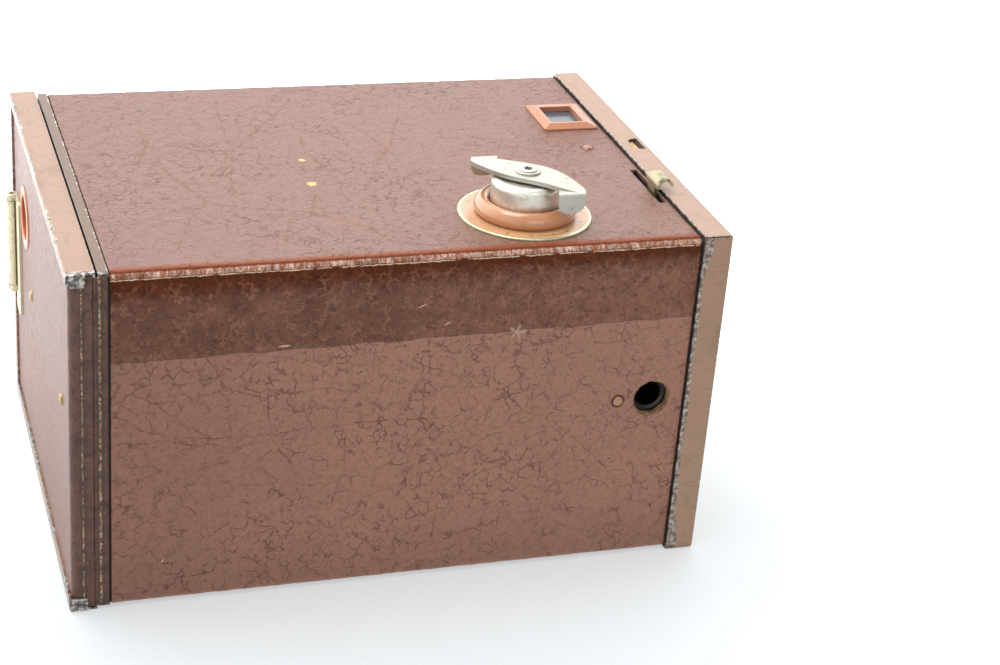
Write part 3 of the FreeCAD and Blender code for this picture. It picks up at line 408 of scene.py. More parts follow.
        # pale streaks of the rubbed ridge: real wear, with the white streaks a painted highlight
        streak = g.step(g.noise(1.0, 4.0, 0.75, vec=g.stretch(1.5, 0.5, 0.5)), 0.40, 0.66)
        rub_highlight_col = g.mix(streak, lin(162, 104, 78), lin(236, 208, 192))
        base = g.mix(g.mul(rub_and_highlight, edge_zone, g.add(0.45, g.mul(g.step(g.noise(0.30, 3.0, 0.6), 0.36, 0.58), 0.40))), base, rub_highlight_col)
        base = g.mix(g.mul(lip, near, 0.9), base, lin(226, 200, 170))
        wet = g.m("MAXIMUM", g.mul(dark_reflection_strip, 0.85), wet)
        for (yy, zz2) in ((106.2, 81.7), (0.9, 0.9), (106.2, 0.9)):
            d2 = g.vmath("LENGTH", g.vec(0.0, g.add(g.y, -yy), g.add(g.z, -zz2)))
            r2 = g.step(g.add(d2, rag), 0.7, 1.5, 1.0, 0.0)
            base = g.mix(g.mul(r2, g.add(0.15, g.mul(streak, 0.5))), base, lin(176, 112, 84))
    if side == "bottom":
        # star-shaped scuff and a few nicks on the bottom face
        dx, dz = g.add(g.x, -99.4), g.add(g.z, -61.9)
        ang = g.m("ARCTAN2", dz, dx)
        rad = g.vmath("LENGTH", g.vec(dx, 0.0, dz))
        petals = g.add(1.15, g.mul(g.m("SINE", g.add(g.mul(ang, 5.0), 1.2)), 0.8), g.mul(g.add(g.noise(0.9, 3.0), -0.5), 3.2))
        star = g.mul(g.step(g.add(rad, g.mul(petals, -1.0)), -0.3, 0.3, 1.0, 0.0), near, g.add(0.45, g.mul(fine, 0.9)))
        base = g.mix(g.mul(star, 0.62), base, lin(178, 152, 132))
        for (sx, sz, a, ln, wd) in ((77.0, 70.0, 0.35, 1.3, 0.22), (46.5, 62.6, 0.05, 1.5, 0.3), (83.0, 65.3, 0.5, 0.9, 0.18), (20.5, 11.0, 0.9, 0.7, 0.2)):
            ca, sa = math.cos(a), math.sin(a)
            ux = g.add(g.mul(g.add(g.x, -sx), ca), g.mul(g.add(g.z, -sz), sa))
            uz = g.add(g.mul(g.add(g.x, -sx), -sa), g.mul(g.add(g.z, -sz), ca))
            dd = g.vmath("LENGTH", g.vec(g.mul(ux, 1.0 / ln), 0.0, g.mul(uz, 1.0 / wd)))
            base = g.mix(g.mul(g.step(dd, 0.6, 1.1, 1.0, 0.0), near, 0.8), base, lin(205, 165, 145))
    if hinge:
        # fold lines rubbed to the cream cloth, with gold flecks
        for fx, wd, amt in ((3.2, 0.26, 0.55), (7.0, 0.36, 0.85)):
            wob = g.mul(g.add(g.noise(0.35, 3.0, 0.6), -0.5), 0.7)
            dl = g.m("ABSOLUTE", g.add(g.x, -fx, wob))
            ln = g.step(dl, wd * 0.45, wd, 1.0, 0.0)
            brk = g.step(g.noise(1.3, 3.0, 0.65), 0.40, 0.56)
            # dark band on both sides of each raised fold line: painted shade along the folds
            sh = g.mul(g.step(dl, wd, wd * 3.2, 1.0, 0.0), near)
            base = g.mix(g.mul(sh, 0.55), base, lin(46, 23, 15))
            base = g.mix(g.mul(ln, brk, near, amt), base, g.mix(g.step(g.noise(0.9, 2.0), 0.45, 0.6), lin(190, 148, 98), lin(208, 192, 160)))
        dk = g.mul(g.step(g.noise(0.25, 3.0, 0.6), 0.40, 0.60), near)
        base = g.mix(g.mul(dk, 0.55), base, lin(56, 29, 20))
    if dark != 1.0:
        base = g.mix(1.0 - dark, base, lin(50, 26, 17))
    rough = g.add(0.36, g.mul(blotch, 0.10), g.mul(lines, 0.34), g.mul(g.step(fine, 0.5, 0.66), 0.06))
    height = g.add(g.mul(crinkle, 0.62), g.mul(fine, 0.20), g.mul(relief, -0.24))
    n1 = g.bump(height, 1.0, 0.85)
    g.set(Base_Color=base, Roughness=rough, Normal=n1, IOR=1.5)
    if band:
        keep = g.m("SUBTRACT", 1.0, wet)
        g.set(Specular_IOR_Level=g.mul(keep, 0.50), Coat_Weight=g.mul(keep, 0.18))
    else:
        g.b.inputs["Specular IOR Level"].default_value = 0.5
        g.b.inputs["Coat Weight"].default_value = 0.18
    g.b.inputs["Coat Roughness"].default_value = 0.25
    g.put(g.b.inputs["Coat Normal"], n1)
    return g.mat


def enamel(name, c0, c1, rough=0.30, chips=0.5, wear=None, edge_mm=0.5, edge_amt=0.9, grime=0.5, coat=0.12, spec=0.30):
    """tan paint on sheet steel; wear is a function giving an extra mask of bare metal"""
    g = G(name)
    tone = g.noise(0.06, 3.0, 0.55)
    col = g.mix(tone, c0, c1)
    smear = g.step(g.noise(0.16, 4.0, 0.62, 0.8, vec=g.stretch(1.0, 0.35, 1.0)), 0.52, 0.72)
    col = g.mix(g.mul(smear, 0.60 * grime), col, lin(112, 82, 64))
    col = g.mix(g.mul(g.edge(1.6, 0.0, 0.2), 0.35 * grime), col, lin(96, 70, 54))
    speck = g.step(g.noise(1.7, 2.0, 0.5), 0.66, 0.72)
    col = g.mix(g.mul(speck, 0.45 * grime), col, lin(96, 70, 52))
    # fine scratches in two directions
    s1 = g.step(g.noise(1.0, 2.0, 0.6, vec=g.stretch(0.16, 3.4, 3.0, rot=(0.2, 0.5, 0.5))), 0.63, 0.67)
    s2 = g.step(g.noise(1.0, 2.0, 0.6, vec=g.stretch(3.2, 0.20, 3.4, rot=(0.5, -0.4, 0.3))), 0.65, 0.69)
    scr = g.m("MAXIMUM", s1, s2)
    col = g.mix(g.mul(scr, 0.35), col, lin(110, 78, 58))
    chipn = g.noise(0.9, 4.0, 0.65)
    e = g.edge(edge_mm)
    big = g.noise(0.13, 3.0, 0.6)
    bare = g.step(g.add(g.mul(e, edge_amt), g.mul(chipn, 0.75), g.mul(big, 0.55)), 1.02, 1.16)
    flake = g.mul(g.step(g.noise(0.55, 3.0, 0.6), 0.66, 0.70), chips)
    bare = g.m("MAXIMUM", bare, flake)
    if wear:
        bare = g.m("MAXIMUM", bare, wear(g, chipn))
    steel = g.mix(g.step(g.noise(0.8, 3.0, 0.6), 0.4, 0.65), lin(84, 78, 72), lin(188, 183, 176))
    col = g.mix(bare, col, steel)
    rgh = g.fmix(bare, g.add(rough, g.mul(tone, 0.12), g.mul(scr, 0.15)), g.add(0.26, g.mul(chipn, 0.22)))
    hgt = g.add(g.mul(bare, -0.05), g.mul(g.noise(0.35, 2.0), 0.05), g.mul(scr, -0.012))
    nn = g.bump(hgt, 1.0, 0.7)
    g.set(Base_Color=col, Roughness=rgh, Metallic=g.mul(bare, 0.9), Normal=nn)
    g.b.inputs["Specular IOR Level"].default_value = spec
    g.b.inputs["Coat Weight"].default_value = coat
    g.b.inputs["Coat Roughness"].default_value = 0.12
    return g.mat


def metal(name, c0, c1, rough=0.28, grime_c=None, grime=0.5, brush=None, pits=0.3, edge_c=None):
    g = G(name)
    tone = g.noise(0.22, 4.0, 0.6)
    col = g.mix(tone, c0, c1)
    stain = g.step(g.noise(0.5, 4.0, 0.65, 0.5), 0.5, 0.72)
    if grime_c:
        col = g.mix(g.mul(stain, grime), col, grime_c)
    pit = g.step(g.noise(2.1, 2.0, 0.5), 0.68, 0.75)
    col = g.mix(g.mul(pit, pits), col, lin(60, 55, 45))
    if edge_c:
        col = g.mix(g.mul(g.edge(0.35), g.step(g.noise(0.8, 3.0), 0.40, 0.55)), col, edge_c)
    sv = brush if brush else (3.5, 0.3, 0.6)
    sc = g.noise(1.0, 3.0, 0.6, vec=g.stretch(*sv))
    g.set(Base_Color=col, Metallic=1.0,
          Roughness=g.add(rough, g.mul(stain, 0.16), g.mul(sc, 0.10)),
          Normal=g.bump(g.add(g.mul(sc, 0.02), g.mul(pit, -0.03), g.mul(tone, 0.02)), 1.0, 0.6))
    return g.mat


def paint_black(name, col=(26, 24, 23), rough=0.55, card=False):
    g = G(name)
    n1 = g.noise(0.5, 4.0, 0.6)
    c = g.mix(n1, lin(*[v * 0.7 for v in col]), lin(*[v * 1.5 for v in col]))
    if card:
        fib = g.noise(1.0, 3.0, 0.6, vec=g.stretch(0.5, 3.0, 2.0))
        c = g.mix(g.mul(g.step(fib, 0.55, 0.7), 0.4), c, lin(70, 58, 46))
        e = g.mul(g.edge(0.5), g.step(g.noise(0.7, 3.0), 0.38, 0.55))
        c = g.mix(g.mul(e, 0.7), c, lin(120, 98, 74))
        hgt = g.add(g.mul(fib, 0.08), g.mul(n1, 0.06))
    else:
        e = g.mul(g.edge(0.4), g.step(g.noise(0.7, 3.0), 0.45, 0.6))
        c = g.mix(g.mul(e, 0.6), c, lin(110, 106, 100))
        hgt = g.mul(n1, 0.03)
    g.set(Base_Color=c, Roughness=g.add(rough, g.mul(n1, 0.15)), Normal=g.bump(hgt, 1.0, 0.6))
    return g.mat


def wood(name, c0, c1, rough=0.55, axis="z"):
    g = G(name)
    st = {"z": (0.9, 0.9, 0.03), "x": (0.03, 0.9, 0.9), "y": (0.9, 0.03, 0.9)}[axis]
    rings = g.noise(1.0, 4.0, 0.6, 0.8, vec=g.stretch(*st))
    pores = g.step(g.noise(1.0, 2.0, 0.5, vec=g.stretch(*[v * 5 for v in st])), 0.58, 0.66)
    c = g.mix(g.step(rings, 0.35, 0.65), c0, c1)
    c = g.mix(g.mul(pores, 0.5), c, lin(20, 14, 10))
    g.set(Base_Color=c, Roughness=g.add(rough, g.mul(rings, 0.1)), Normal=g.bump(g.add(g.mul(rings, 0.05), g.mul(pores, -0.06)), 1.0, 0.6))
    return g.mat


TAN0, TAN1 = lin(146, 114, 92), lin(162, 130, 107)
MAT = {}
MAT["leather_body"] = leatherette("leatherette_body")
MAT["leather_bottom"] = leatherette("leatherette_bottom_face", side="bottom")
MAT["leather_key"] = leatherette("leatherette_key_side", side="key")
MAT["leather_back"] = leatherette("leatherette_back", hinge=True)
MAT["leather_hinge"] = leatherette("leatherette_hinge", hinge=True, dark=0.85)
MAT["leather_front"] = leatherette("leatherette_front")


def wear_back_frame(g, chipn):
    # outer long edge nicked all along; hinge corners rubbed bare; bottom corners too
    nick = g.noise(1.0, 3.0, 0.7, vec=g.stretch(0.5, 0.55, 1.0))
    edge_x = g.step(g.add(g.x, g.mul(g.add(nick, -0.5), 2.6)), 0.15, 0.75, 1.0, 0.0)
    edge_x = g.mul(edge_x, g.step(g.noise(0.16, 3.0, 0.6), 0.46, 0.58))
    near = g.step(g.add(g.y, g.mul(g.add(chipn, -0.5), 3.0)), 1.2, 2.4, 1.0, 0.0)
    return g.m("MAXIMUM", edge_x, near)


def wear_front_frame(g, chipn):
    # rear lip of the flange on the camera's bottom face, and its corners
    on_near = g.step(g.y, 0.3, 0.8, 1.0, 0.0)
    wob = g.add(g.mul(g.add(g.noise(0.11, 4.0, 0.62), -0.5), 3.4), g.mul(g.add(chipn, -0.5), 1.2))
    ends = g.m("MAXIMUM", g.step(g.z, 70.0, 82.0, 0.0, 1.1), g.step(g.z, 14.0, 0.0, 0.0, 1.3))
    lip = g.mul(g.step(g.add(g.x, g.mul(wob, 0.7), g.mul(ends, -1.2)), 142.6, 143.1, 1.0, 0.0), on_near, 0.75)
    far = g.mul(g.step(g.add(g.x, g.mul(wob, 0.8)), 148.4, 148.9), g.step(g.noise(0.2, 3.0), 0.45, 0.6))
    lip2 = g.step(g.add(g.x, g.mul(wob, 0.12)), 142.12, 142.42, 1.0, 0.0)
    return g.m("MAXIMUM", g.m("MAXIMUM", lip, g.mul(far, 0.9)), g.mul(lip2, 0.85))


def wear_bind(g, chipn):
    e = g.step(g.add(g.x, g.mul(g.add(chipn, -0.5), 0.9)), 8.55, 8.85)
    near = g.step(g.add(g.y, g.mul(g.add(chipn, -0.5), 2.0)), 1.6, 2.6, 1.0, 0.0)
    return g.m("MAXIMUM", g.mul(e, g.step(g.noise(0.5, 3.0), 0.42, 0.55)), near)


MAT["enamel_back"] = enamel("enamel_back_frame", TAN0, TAN1, wear=wear_back_frame, chips=0.25, grime=0.8, edge_amt=0.62)
MAT["enamel_front"] = enamel("enamel_front_frame", TAN0, TAN1, wear=wear_front_frame, chips=0.15, grime=0.6, edge_amt=0.75)
MAT["enamel_bind"] = enamel("enamel_binding", lin(100, 76, 58), lin(116, 90, 70), wear=wear_bind, chips=0.2, grime=0.8, edge_mm=0.3, edge_amt=0.5)
MAT["enamel_bezel"] = enamel("enamel_bezel", lin(176, 118, 88), lin(188, 130, 98), chips=0.06, grime=0.5, edge_mm=0.3, edge_amt=0.40, rough=0.24)
MAT["enamel_collar"] = enamel("enamel_collar", lin(178, 120, 80), lin(188, 132, 92), chips=0.04, grime=0.30, edge_mm=0.2, edge_amt=0.15, rough=0.15, coat=0.7, spec=0.5)
MAT["enamel_red"] = enamel("enamel_window_rim", lin(196, 98, 50), lin(206, 112, 62), chips=0.05, grime=0.3, edge_mm=0.2, edge_amt=0.3, rough=0.2, coat=0.5)
MAT["nickel"] = metal("nickel_key", lin(178, 175, 165), lin(194, 192, 184), rough=0.42, grime_c=lin(150, 138, 104), grime=0.35, pits=0.25)
MAT["nickel_cup"] = metal("nickel_cup", lin(220, 215, 202), lin(234, 231, 222), rough=0.34, grime_c=lin(140, 124, 86), grime=0.45, pits=0.5, brush=(0.3, 0.3, 4.0))
MAT["nickel_lever"] = metal("nickel_lever", lin(150, 142, 112), lin(176, 170, 144), rough=0.34, grime_c=lin(104, 94, 58), grime=0.5, pits=0.5)
MAT["nickel_latch"] = metal("nickel_latch", lin(216, 206, 176), lin(234, 228, 204), rough=0.36, grime_c=lin(128, 108, 66), grime=0.5, pits=0.6, brush=(0.5, 0.5, 3.0))
MAT["steel"] = metal("spring_steel", lin(120, 116, 108), lin(160, 156, 148), rough=0.34, grime_c=lin(90, 66, 40), grime=0.5, pits=0.4)
MAT["dark_steel"] = metal("dark_steel", lin(52, 50, 48), lin(80, 77, 72), rough=0.38, grime_c=lin(60, 44, 30), grime=0.4, pits=0.3)
MAT["brass"] = metal("brass_old", lin(176, 134, 78), lin(196, 160, 104), rough=0.32, grime_c=lin(96, 74, 44), grime=0.6, pits=0.5)
MAT["black"] = paint_black("black_paint")
MAT["card"] = paint_black("black_card", (30, 27, 25), 0.7, card=True)
MAT["carrier"] = wood("black_wood", lin(24, 18, 14), lin(42, 32, 25), 0.6, "x")
MAT["strap"] = None


# painted rivets: tan centre with a bright rubbed rim
g = G("rivet_tan")
d_b = g.vmath("LENGTH", g.vec(g.add(g.x, -125.4), 0.0, g.add(g.z, -42.0)))
d_t = g.vmath("LENGTH", g.vec(g.add(g.x, -133.6), g.add(g.y, -55.8), 0.0))
d_s = g.vmath("LENGTH", g.vec(g.add(g.x, -125.4), g.add(g.y, -53.5), 0.0))
d_r = g.m("MINIMUM", d_b, g.m("MINIMUM", d_t, d_s))
rimm = g.mul(g.step(g.add(d_r, g.mul(g.add(g.noise(1.2, 2.0), -0.5), 0.5)), 0.95, 1.15), g.step(g.noise(0.9, 2.0), 0.36, 0.5))
colr = g.mix(rimm, g.mix(g.noise(1.1, 3.0), lin(150, 100, 72), lin(178, 130, 100)), lin(112, 78, 60))
g.set(Base_Color=colr, Metallic=g.mul(rimm, 0.3), Roughness=g.fmix(rimm, 0.4, 0.28), Normal=g.bump(g.noise(1.0, 3.0), 0.06, 0.6))
MAT["rivet"] = g.mat

# brass rivets of the back
MAT["rivet_back"] = metal("rivet_back", lin(160, 130, 84), lin(186, 158, 108), rough=0.34, grime_c=lin(88, 70, 44), grime=0.7, pits=0.5)

# round plate under the key: orange enamel, worn, greenish brass rim, printed turning arrow and ticks
g = G("key_plate")
dx, dy = g.add(g.x, -KEY_X), g.add(g.y, -KEY_Y)
rad = g.vmath("LENGTH", g.vec(dx, dy, 0.0))
ang = g.m("ARCTAN2", dy, dx)
nz = g.noise(0.45, 4.0, 0.62)
col = g.mix(g.noise(0.15, 3.0), lin(186, 136, 98), lin(202, 154, 114))
worn = g.step(nz, 0.50, 0.62)
col = g.mix(g.mul(worn, 0.55), col, lin(176, 148, 104))
ink = None
for a0 in range(16):
    a = -math.pi + (a0 + 0.5) * 2 * math.pi / 16
    if a0 % 4 == 1:
        continue
    da = g.m("ABSOLUTE", g.add(ang, -a))
    t = g.step(g.mul(da, rad), 0.22, 0.36, 1.0, 0.0)
    ink = t if ink is None else g.m("MAXIMUM", ink, t)
band_r = g.mul(g.step(rad, 12.7, 12.9), g.step(rad, 13.9, 14.1, 1.0, 0.0))
ink = g.mul(ink, band_r)
arc = g.mul(g.step(g.m("ABSOLUTE", g.add(rad, -13.4)), 0.14, 0.26, 1.0, 0.0), g.step(g.m("ABSOLUTE", g.add(ang, 1.35)), 0.30, 0.36, 1.0, 0.0))
head_a = g.add(ang, 1.02)
head = g.mul(g.step(g.add(g.m("ABSOLUTE", g.add(rad, -13.4)), g.mul(head_a, 4.5)), 0.15, 0.3, 1.0, 0.0), g.step(head_a, -0.10, -0.08))
ink = g.m("MAXIMUM", ink, g.m("MAXIMUM", arc, head))
ink = g.mul(ink, g.step(g.noise(0.9, 3.0, 0.6), 0.40, 0.52))
col = g.mix(g.mul(ink, 0.8), col, lin(92, 88, 66))
rim = g.step(g.add(rad, g.mul(g.add(nz, -0.5), 0.25)), 14.55, 14.75)
col = g.mix(rim, col, g.mix(nz, lin(176, 178, 140), lin(206, 206, 172)))
g.set(Base_Color=col, Metallic=g.mul(rim, 0.85), Roughness=g.fmix(rim, 0.26, 0.3), Normal=g.bump(g.add(g.mul(ink, -0.04), g.mul(worn, -0.03), g.mul(nz, 0.04)), 1.0, 0.6))
g.b.inputs["Coat Weight"].default_value = 0.3
g.b.inputs["Coat Roughness"].default_value = 0.15
MAT["key_plate"] = g.mat


def glassy(name, col, rough, trans, alpha=1.0, smudge=0.3):
    g = G(name)
    n1 = g.noise(0.35, 4.0, 0.6)
    dust = g.step(g.noise(1.8, 3.0, 0.6), 0.60, 0.70)
    c = g.mix(g.mul(dust, 0.35), col, lin(190, 188, 180))
    g.set(Base_Color=c, Roughness=g.add(rough, g.mul(n1, 0.08 * smudge), g.mul(dust, 0.15 * smudge)), Normal=g.bump(n1, 0.02, 0.4))
    g.b.inputs["Transmission Weight"].default_value = trans
    g.b.inputs["IOR"].default_value = 1.5
    if alpha < 1:
        g.b.inputs["Alpha"].default_value = alpha
    return g.mat


MAT["finder_glass"] = glassy("finder_glass", lin(112, 124, 134), 0.16, 0.55)
MAT["objective_glass"] = glassy("objective_glass", lin(200, 206, 208), 0.06, 0.5)
MAT["lens_glass"] = glassy("lens_glass", lin(226, 232, 230), 0.02, 0.92, smudge=0.1)
MAT["red_film"] = glassy("red_film", lin(150, 22, 8), 0.18, 0.3)
g = G("mirror_silver")
sp = g.step(g.noise(0.8, 4.0, 0.65), 0.60, 0.70)
g.set(Base_Color=g.mix(g.mul(sp, 0.6), lin(226, 228, 230), lin(120, 100, 70)), Metallic=1.0, Roughness=g.add(0.04, g.mul(sp, 0.3)))
MAT["mirror"] = g.mat
MAT["spool_wood"] = wood("spool_wood", lin(150, 112, 70), lin(180, 140, 92), 0.5, "z")


def use(node, *mats):
    o = NODES[node]
    if not o.material_slots:
        o.data.materials.append(MAT[mats[0]])
    for s in o.material_slots:
        s.link = "OBJECT"
        s.material = MAT[mats[0]]


for node, mat in {
    "body_box": "card", "rear_binding": "enamel_bind", "front_frame": "enamel_front", "lens_ring": "nickel_cup",
    "front_board": "carrier", "shutter_plate": "black", "shutter_pivots": "brass", "lens_cell": "black", "meniscus_lens": "lens_glass",
    "side_finder_bezel": "enamel_bezel", "top_finder_bezel": "enamel_bezel", "side_finder_glass": "finder_glass",
    "top_finder_glass": "finder_glass", "side_finder_mirror": "mirror", "top_finder_mirror": "mirror",
    "side_finder_housing": "black", "top_finder_housing": "black", "side_finder_objective": "objective_glass",
    "top_finder_objective": "objective_glass", "slide_guide": "black", "bottom_tripod_plate": "dark_steel",
    "side_tripod_plate": "dark_steel", "body_rivets": "rivet", "key_plate": "key_plate", "key_collar": "enamel_collar",
    "key_cup": "nickel_cup", "key_spring": "dark_steel", "latch_catch": "nickel_latch", "handle_studs": "nickel",
    "carrier_upper_side": "carrier", "carrier_lower_side": "carrier", "light_cone": "black", "spool_pins": "steel",
    "take_up_spool": "spool_wood", "feed_roller": "nickel", "take_up_roller": "nickel", "key_washer": "steel",
    "key_shaft": "nickel", "key_wing": "nickel", "shutter_lever": "nickel_lever", "shutter_disc": "black",
    "shutter_spring": "steel", "stop_slide": "nickel_lever", "time_slide": "brass", "handle_front_clip": "nickel",
    "handle_rear_clip": "nickel", "back_panel": "card", "back_frame": "enamel_back", "red_window_rim": "enamel_red",
    "red_window_disc": "red_film", "back_leaf_spring": "steel", "back_rivets": "rivet_back", "latch_base": "nickel_latch",
    "latch_pin": "steel", "latch_clasp": "nickel_latch",
}.items():
    use(node, mat)


# ------------------------------------------------------------------------------------------------
# mesh helpers (working in design millimetres)
# ------------------------------------------------------------------------------------------------
def make(name, verts, faces, mat, smooth=True):
    me = bpy.data.meshes.new(name)
    me.from_pydata([tuple(P(*v)) for v in verts], [], faces)
    me.validate()
    me.update()
    o = bpy.data.objects.new(name, me)
    SCENE.collection.objects.link(o)
    me.materials.append(mat)
    if smooth:
        me.polygons.foreach_set("use_smooth", [True] * len(me.polygons))
    return o


def grain(p, k=1.0):
    """leather relief in mm at a point in mm"""
    v = Vector(p)
    w = v * 0.045
    a = noise.fractal(w, 0.9, 2.0, 3) * 0.07
    q = v * 0.16 + Vector((noise.noise(v * 0.09), noise.noise(v * 0.09 + Vector((7, 1, 3))), noise.noise(v * 0.09 + Vector((2, 9, 5))))) * 0.9
    b = abs(noise.noise(q)) * 0.10
    c = noise.noise(v * 0.55) * 0.035
    return k * (a * 0.6 + b + c - 0.05)


def bool_cut(obj, cutters, solver="MANIFOLD"):
    for c in cutters:
        md = obj.modifiers.new("cut", "BOOLEAN")
        md.operation = "DIFFERENCE"
        md.object = c
        try:
            md.solver = solver
        except TypeError:
            md.solver = "EXACT"
    bpy.context.view_layer.update()
    dg = bpy.context.evaluated_depsgraph_get()
    me = bpy.data.meshes.new_from_object(obj.evaluated_get(dg))
    obj.modifiers.clear()
    old = obj.data
    obj.data = me
    bpy.data.meshes.remove(old)
    for c in cutters:
        bpy.data.objects.remove(c)


def cutter_cyl(axis, c, r, length, seg=72, wob=0.0, seed=0.0):
    """closed cylinder along axis from point c, in mm; wob makes its outline ragged"""
    verts, faces = [], []
    for k in range(2):
        for i in range(seg):
            a = 2 * math.pi * i / seg
            rr = r + wob * noise.noise(Vector((math.cos(a) * 3.5 + seed, math.sin(a) * 3.5, seed)))
            u, v = rr * math.cos(a), rr * math.sin(a)
            t = k * length
            p = {"x": (t, u, v), "y": (v, t, u), "z": (u, v, t)}[axis]
            verts.append((c[0] + p[0], c[1] + p[1], c[2] + p[2]))
    for i in range(seg):
        j = (i + 1) % seg
        faces.append((i, j, seg + j, seg + i))
    faces.append(tuple(reversed(range(seg))))
    faces.append(tuple(range(seg, 2 * seg)))
    return make("cutter", verts, faces, MAT["black"], False)


def cutter_box(x0, x1, y0, y1, z0, z1):
    v = [(x, y, z) for x in (x0, x1) for y in (y0, y1) for z in (z0, z1)]
    f = [(0, 1, 3, 2), (4, 6, 7, 5), (0, 4, 5, 1), (2, 3, 7, 6), (0, 2, 6, 4), (1, 5, 7, 3)]
    return make("cutter", v, f, MAT["black"], False)


# ------------------------------------------------------------------------------------------------
# leatherette covering of the box
# ------------------------------------------------------------------------------------------------
def rounded_rect(y0, y1, z0, z1, r, step, nc):
    """points and outward normals of a rounded rectangle in the YZ plane"""
    pts = []
    corners = [((y1 - r, z1 - r), 0), ((y0 + r, z1 - r), 90), ((y0 + r, z0 + r), 180), ((y1 - r, z0 + r), 270)]
    for k, ((cy, cz), a0) in enumerate(corners):
        for i in range(nc + 1):
            a = math.radians(a0 + 90.0 * i / nc)
            pts.append((cy + r * math.cos(a), cz + r * math.sin(a), math.cos(a), math.sin(a)))
        (ny, nz), _ = corners[(k + 1) % 4]
        a1 = math.radians(a0 + 90)
        p0 = (cy + r * math.cos(a1), cz + r * math.sin(a1))
        p1 = (ny + r * math.cos(a1), nz + r * math.sin(a1))
        d = math.hypot(p1[0] - p0[0], p1[1] - p0[1])
        n = max(2, int(d / step))
        for i in range(1, n):
            t = i / n
            pts.append((p0[0] + (p1[0] - p0[0]) * t, p0[1] + (p1[1] - p0[1]) * t, math.cos(a1), math.sin(a1)))
    return pts


def build_body_cover():
    x0, x1 = 9.3, 141.55
    step = 0.85
    ring = rounded_rect(0.5, H - 0.5, 0.5, W - 0.5, 1.7, step, 8)
    inner = rounded_rect(1.04, H - 1.04, 1.04, W - 1.04, 1.16, step, 8)
    n = len(ring)
    if len(inner) != n:      # same count along each side
        inner = []
        for (y, z, ny, nz) in ring:
            inner.append((y - ny * 0.54, z - nz * 0.54, ny, nz))
    xs = [x0, x0 + 0.12, x0 + 0.4]
    k = int((x1 - x0 - 0.8) / step)
    xs += [x0 + 0.4 + (x1 - x0 - 0.8) * i / k for i in range(1, k)]
    xs += [x1 - 0.4, x1 - 0.12, x1]
    verts, faces = [], []
    for xi, x in enumerate(xs):
        end = min(abs(x - x0), abs(x - x1))
        drop = 0.16 * max(0.0, 1 - end / 0.4) ** 2
        for (y, z, ny, nz) in ring:
            h = grain((x, y, z))
            corner = abs(ny * nz)
            if corner > 0.05:      # rubbed long edges: a low ragged ridge
                h = h * 0.7 + 0.09 * noise.noise(Vector((x * 1.3, y * 0.4, z * 0.4))) * corner * 2 + 0.05 * noise.noise(Vector((x * 4.1, y, z))) * corner * 2
            h -= drop
            verts.append((x, y + ny * h, z + nz * h))
    nx = len(xs)
    for i in range(nx - 1):
        for j in range(n):
            j2 = (j + 1) % n
            faces.append((i * n + j, i * n + j2, (i + 1) * n + j2, (i + 1) * n + j))
    b0 = len(verts)
    for x in (x0, x1):
        for (y, z, ny, nz) in inner:
            verts.append((x, y, z))
    for j in range(n):
        j2 = (j + 1) % n
        faces.append((j2, j, b0 + j, b0 + j2))
        e = (nx - 1) * n
        faces.append((e + j, e + j2, b0 + n + j2, b0 + n + j))
        faces.append((b0 + j2, b0 + j, b0 + n + j, b0 + n + j2))
    o = make("covering_body", verts, faces, MAT["leather_body"])
    bm = bmesh.new()
    bm.from_mesh(o.data)
    bmesh.ops.recalc_face_normals(bm, faces=bm.faces)
    bm.to_mesh(o.data)
    bm.free()
    cuts = [cutter_cyl("z", (KEY_X, KEY_Y, 78.0), 8.0, 8.0),
            cutter_box(128.35, 137.85, 69.75, 80.65, 78.0, 86.0),
            cutter_box(128.35, 137.85, 100.0, 112.0, 18.45, 29.35),
            cutter_box(139.15, 140.85, 21.15, 40.85, 78.0, 86.0),
            cutter_cyl("y", (133.7, -3.0, 42.1), 4.45, 6.0, 90, 0.28, 3.1),
            cutter_cyl("z", (133.7, 53.5, -3.0), 4.45, 6.0, 90, 0.2, 5.1),
            cutter_cyl("y", (125.4, -3.0, 42.0), 1.55, 6.0, 40, 0.05, 1.0),
            cutter_cyl("z", (133.6, 55.8, 78.0), 1.55, 8.0, 40, 0.05, 2.0),
            cutter_cyl("z", (125.4, 53.5, -3.0), 1.55, 6.0, 40, 0.05, 4.0),
            cutter_cyl("y", (35.0, 103.0, 41.3), 1.9, 8.0, 40),
            cutter_cyl("y", (110.0, 103.0, 41.3), 1.9, 8.0, 40)]
    bool_cut(o, cuts)
    me = o.data
    me.materials.clear()
    for k in ("leather_body", "leather_bottom", "leather_key"):
        me.materials.append(MAT[k])
    idx = []
    for poly in me.polygons:
        y, z = poly.center.y * 1000 + OY, poly.center.z * 1000
        idx.append(1 if (y < 2.3 and y + z - 82.6 < 0.0) else (2 if z > 80.4 else 0))
    me.polygons.foreach_set("material_index", idx)
    me.update()
    return o


cover = build_body_cover()
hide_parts("body_covering")
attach(cover, "camera_body")


# ------------------------------------------------------------------------------------------------
# leatherette of the back: outer face, rounded over the hinge edge, first strip of the bottom face
# ------------------------------------------------------------------------------------------------
def profile_back():
    """(x, y, nx, ny) from the far side round to the fold, outer face"""
    pts = []
    y = H - 0.6
    n = int((y - 2.0) / 0.9)
    for i in range(n + 1):
        t = i / n
        pts.append((0.5, y + (2.0 - y) * t, -1.0, 0.0))
    r = 1.5
    for i in range(1, 9):
        a = math.radians(180 + 90 * i / 8)
        pts.append((0.5 + r + r * math.cos(a), 0.5 + r + r * math.sin(a), math.cos(a), math.sin(a)))
    x = 2.0
    while x < 5.55:
        x += 0.30
        pts.append((min(x, 5.7), 0.5, 0.0, -1.0))
    return pts


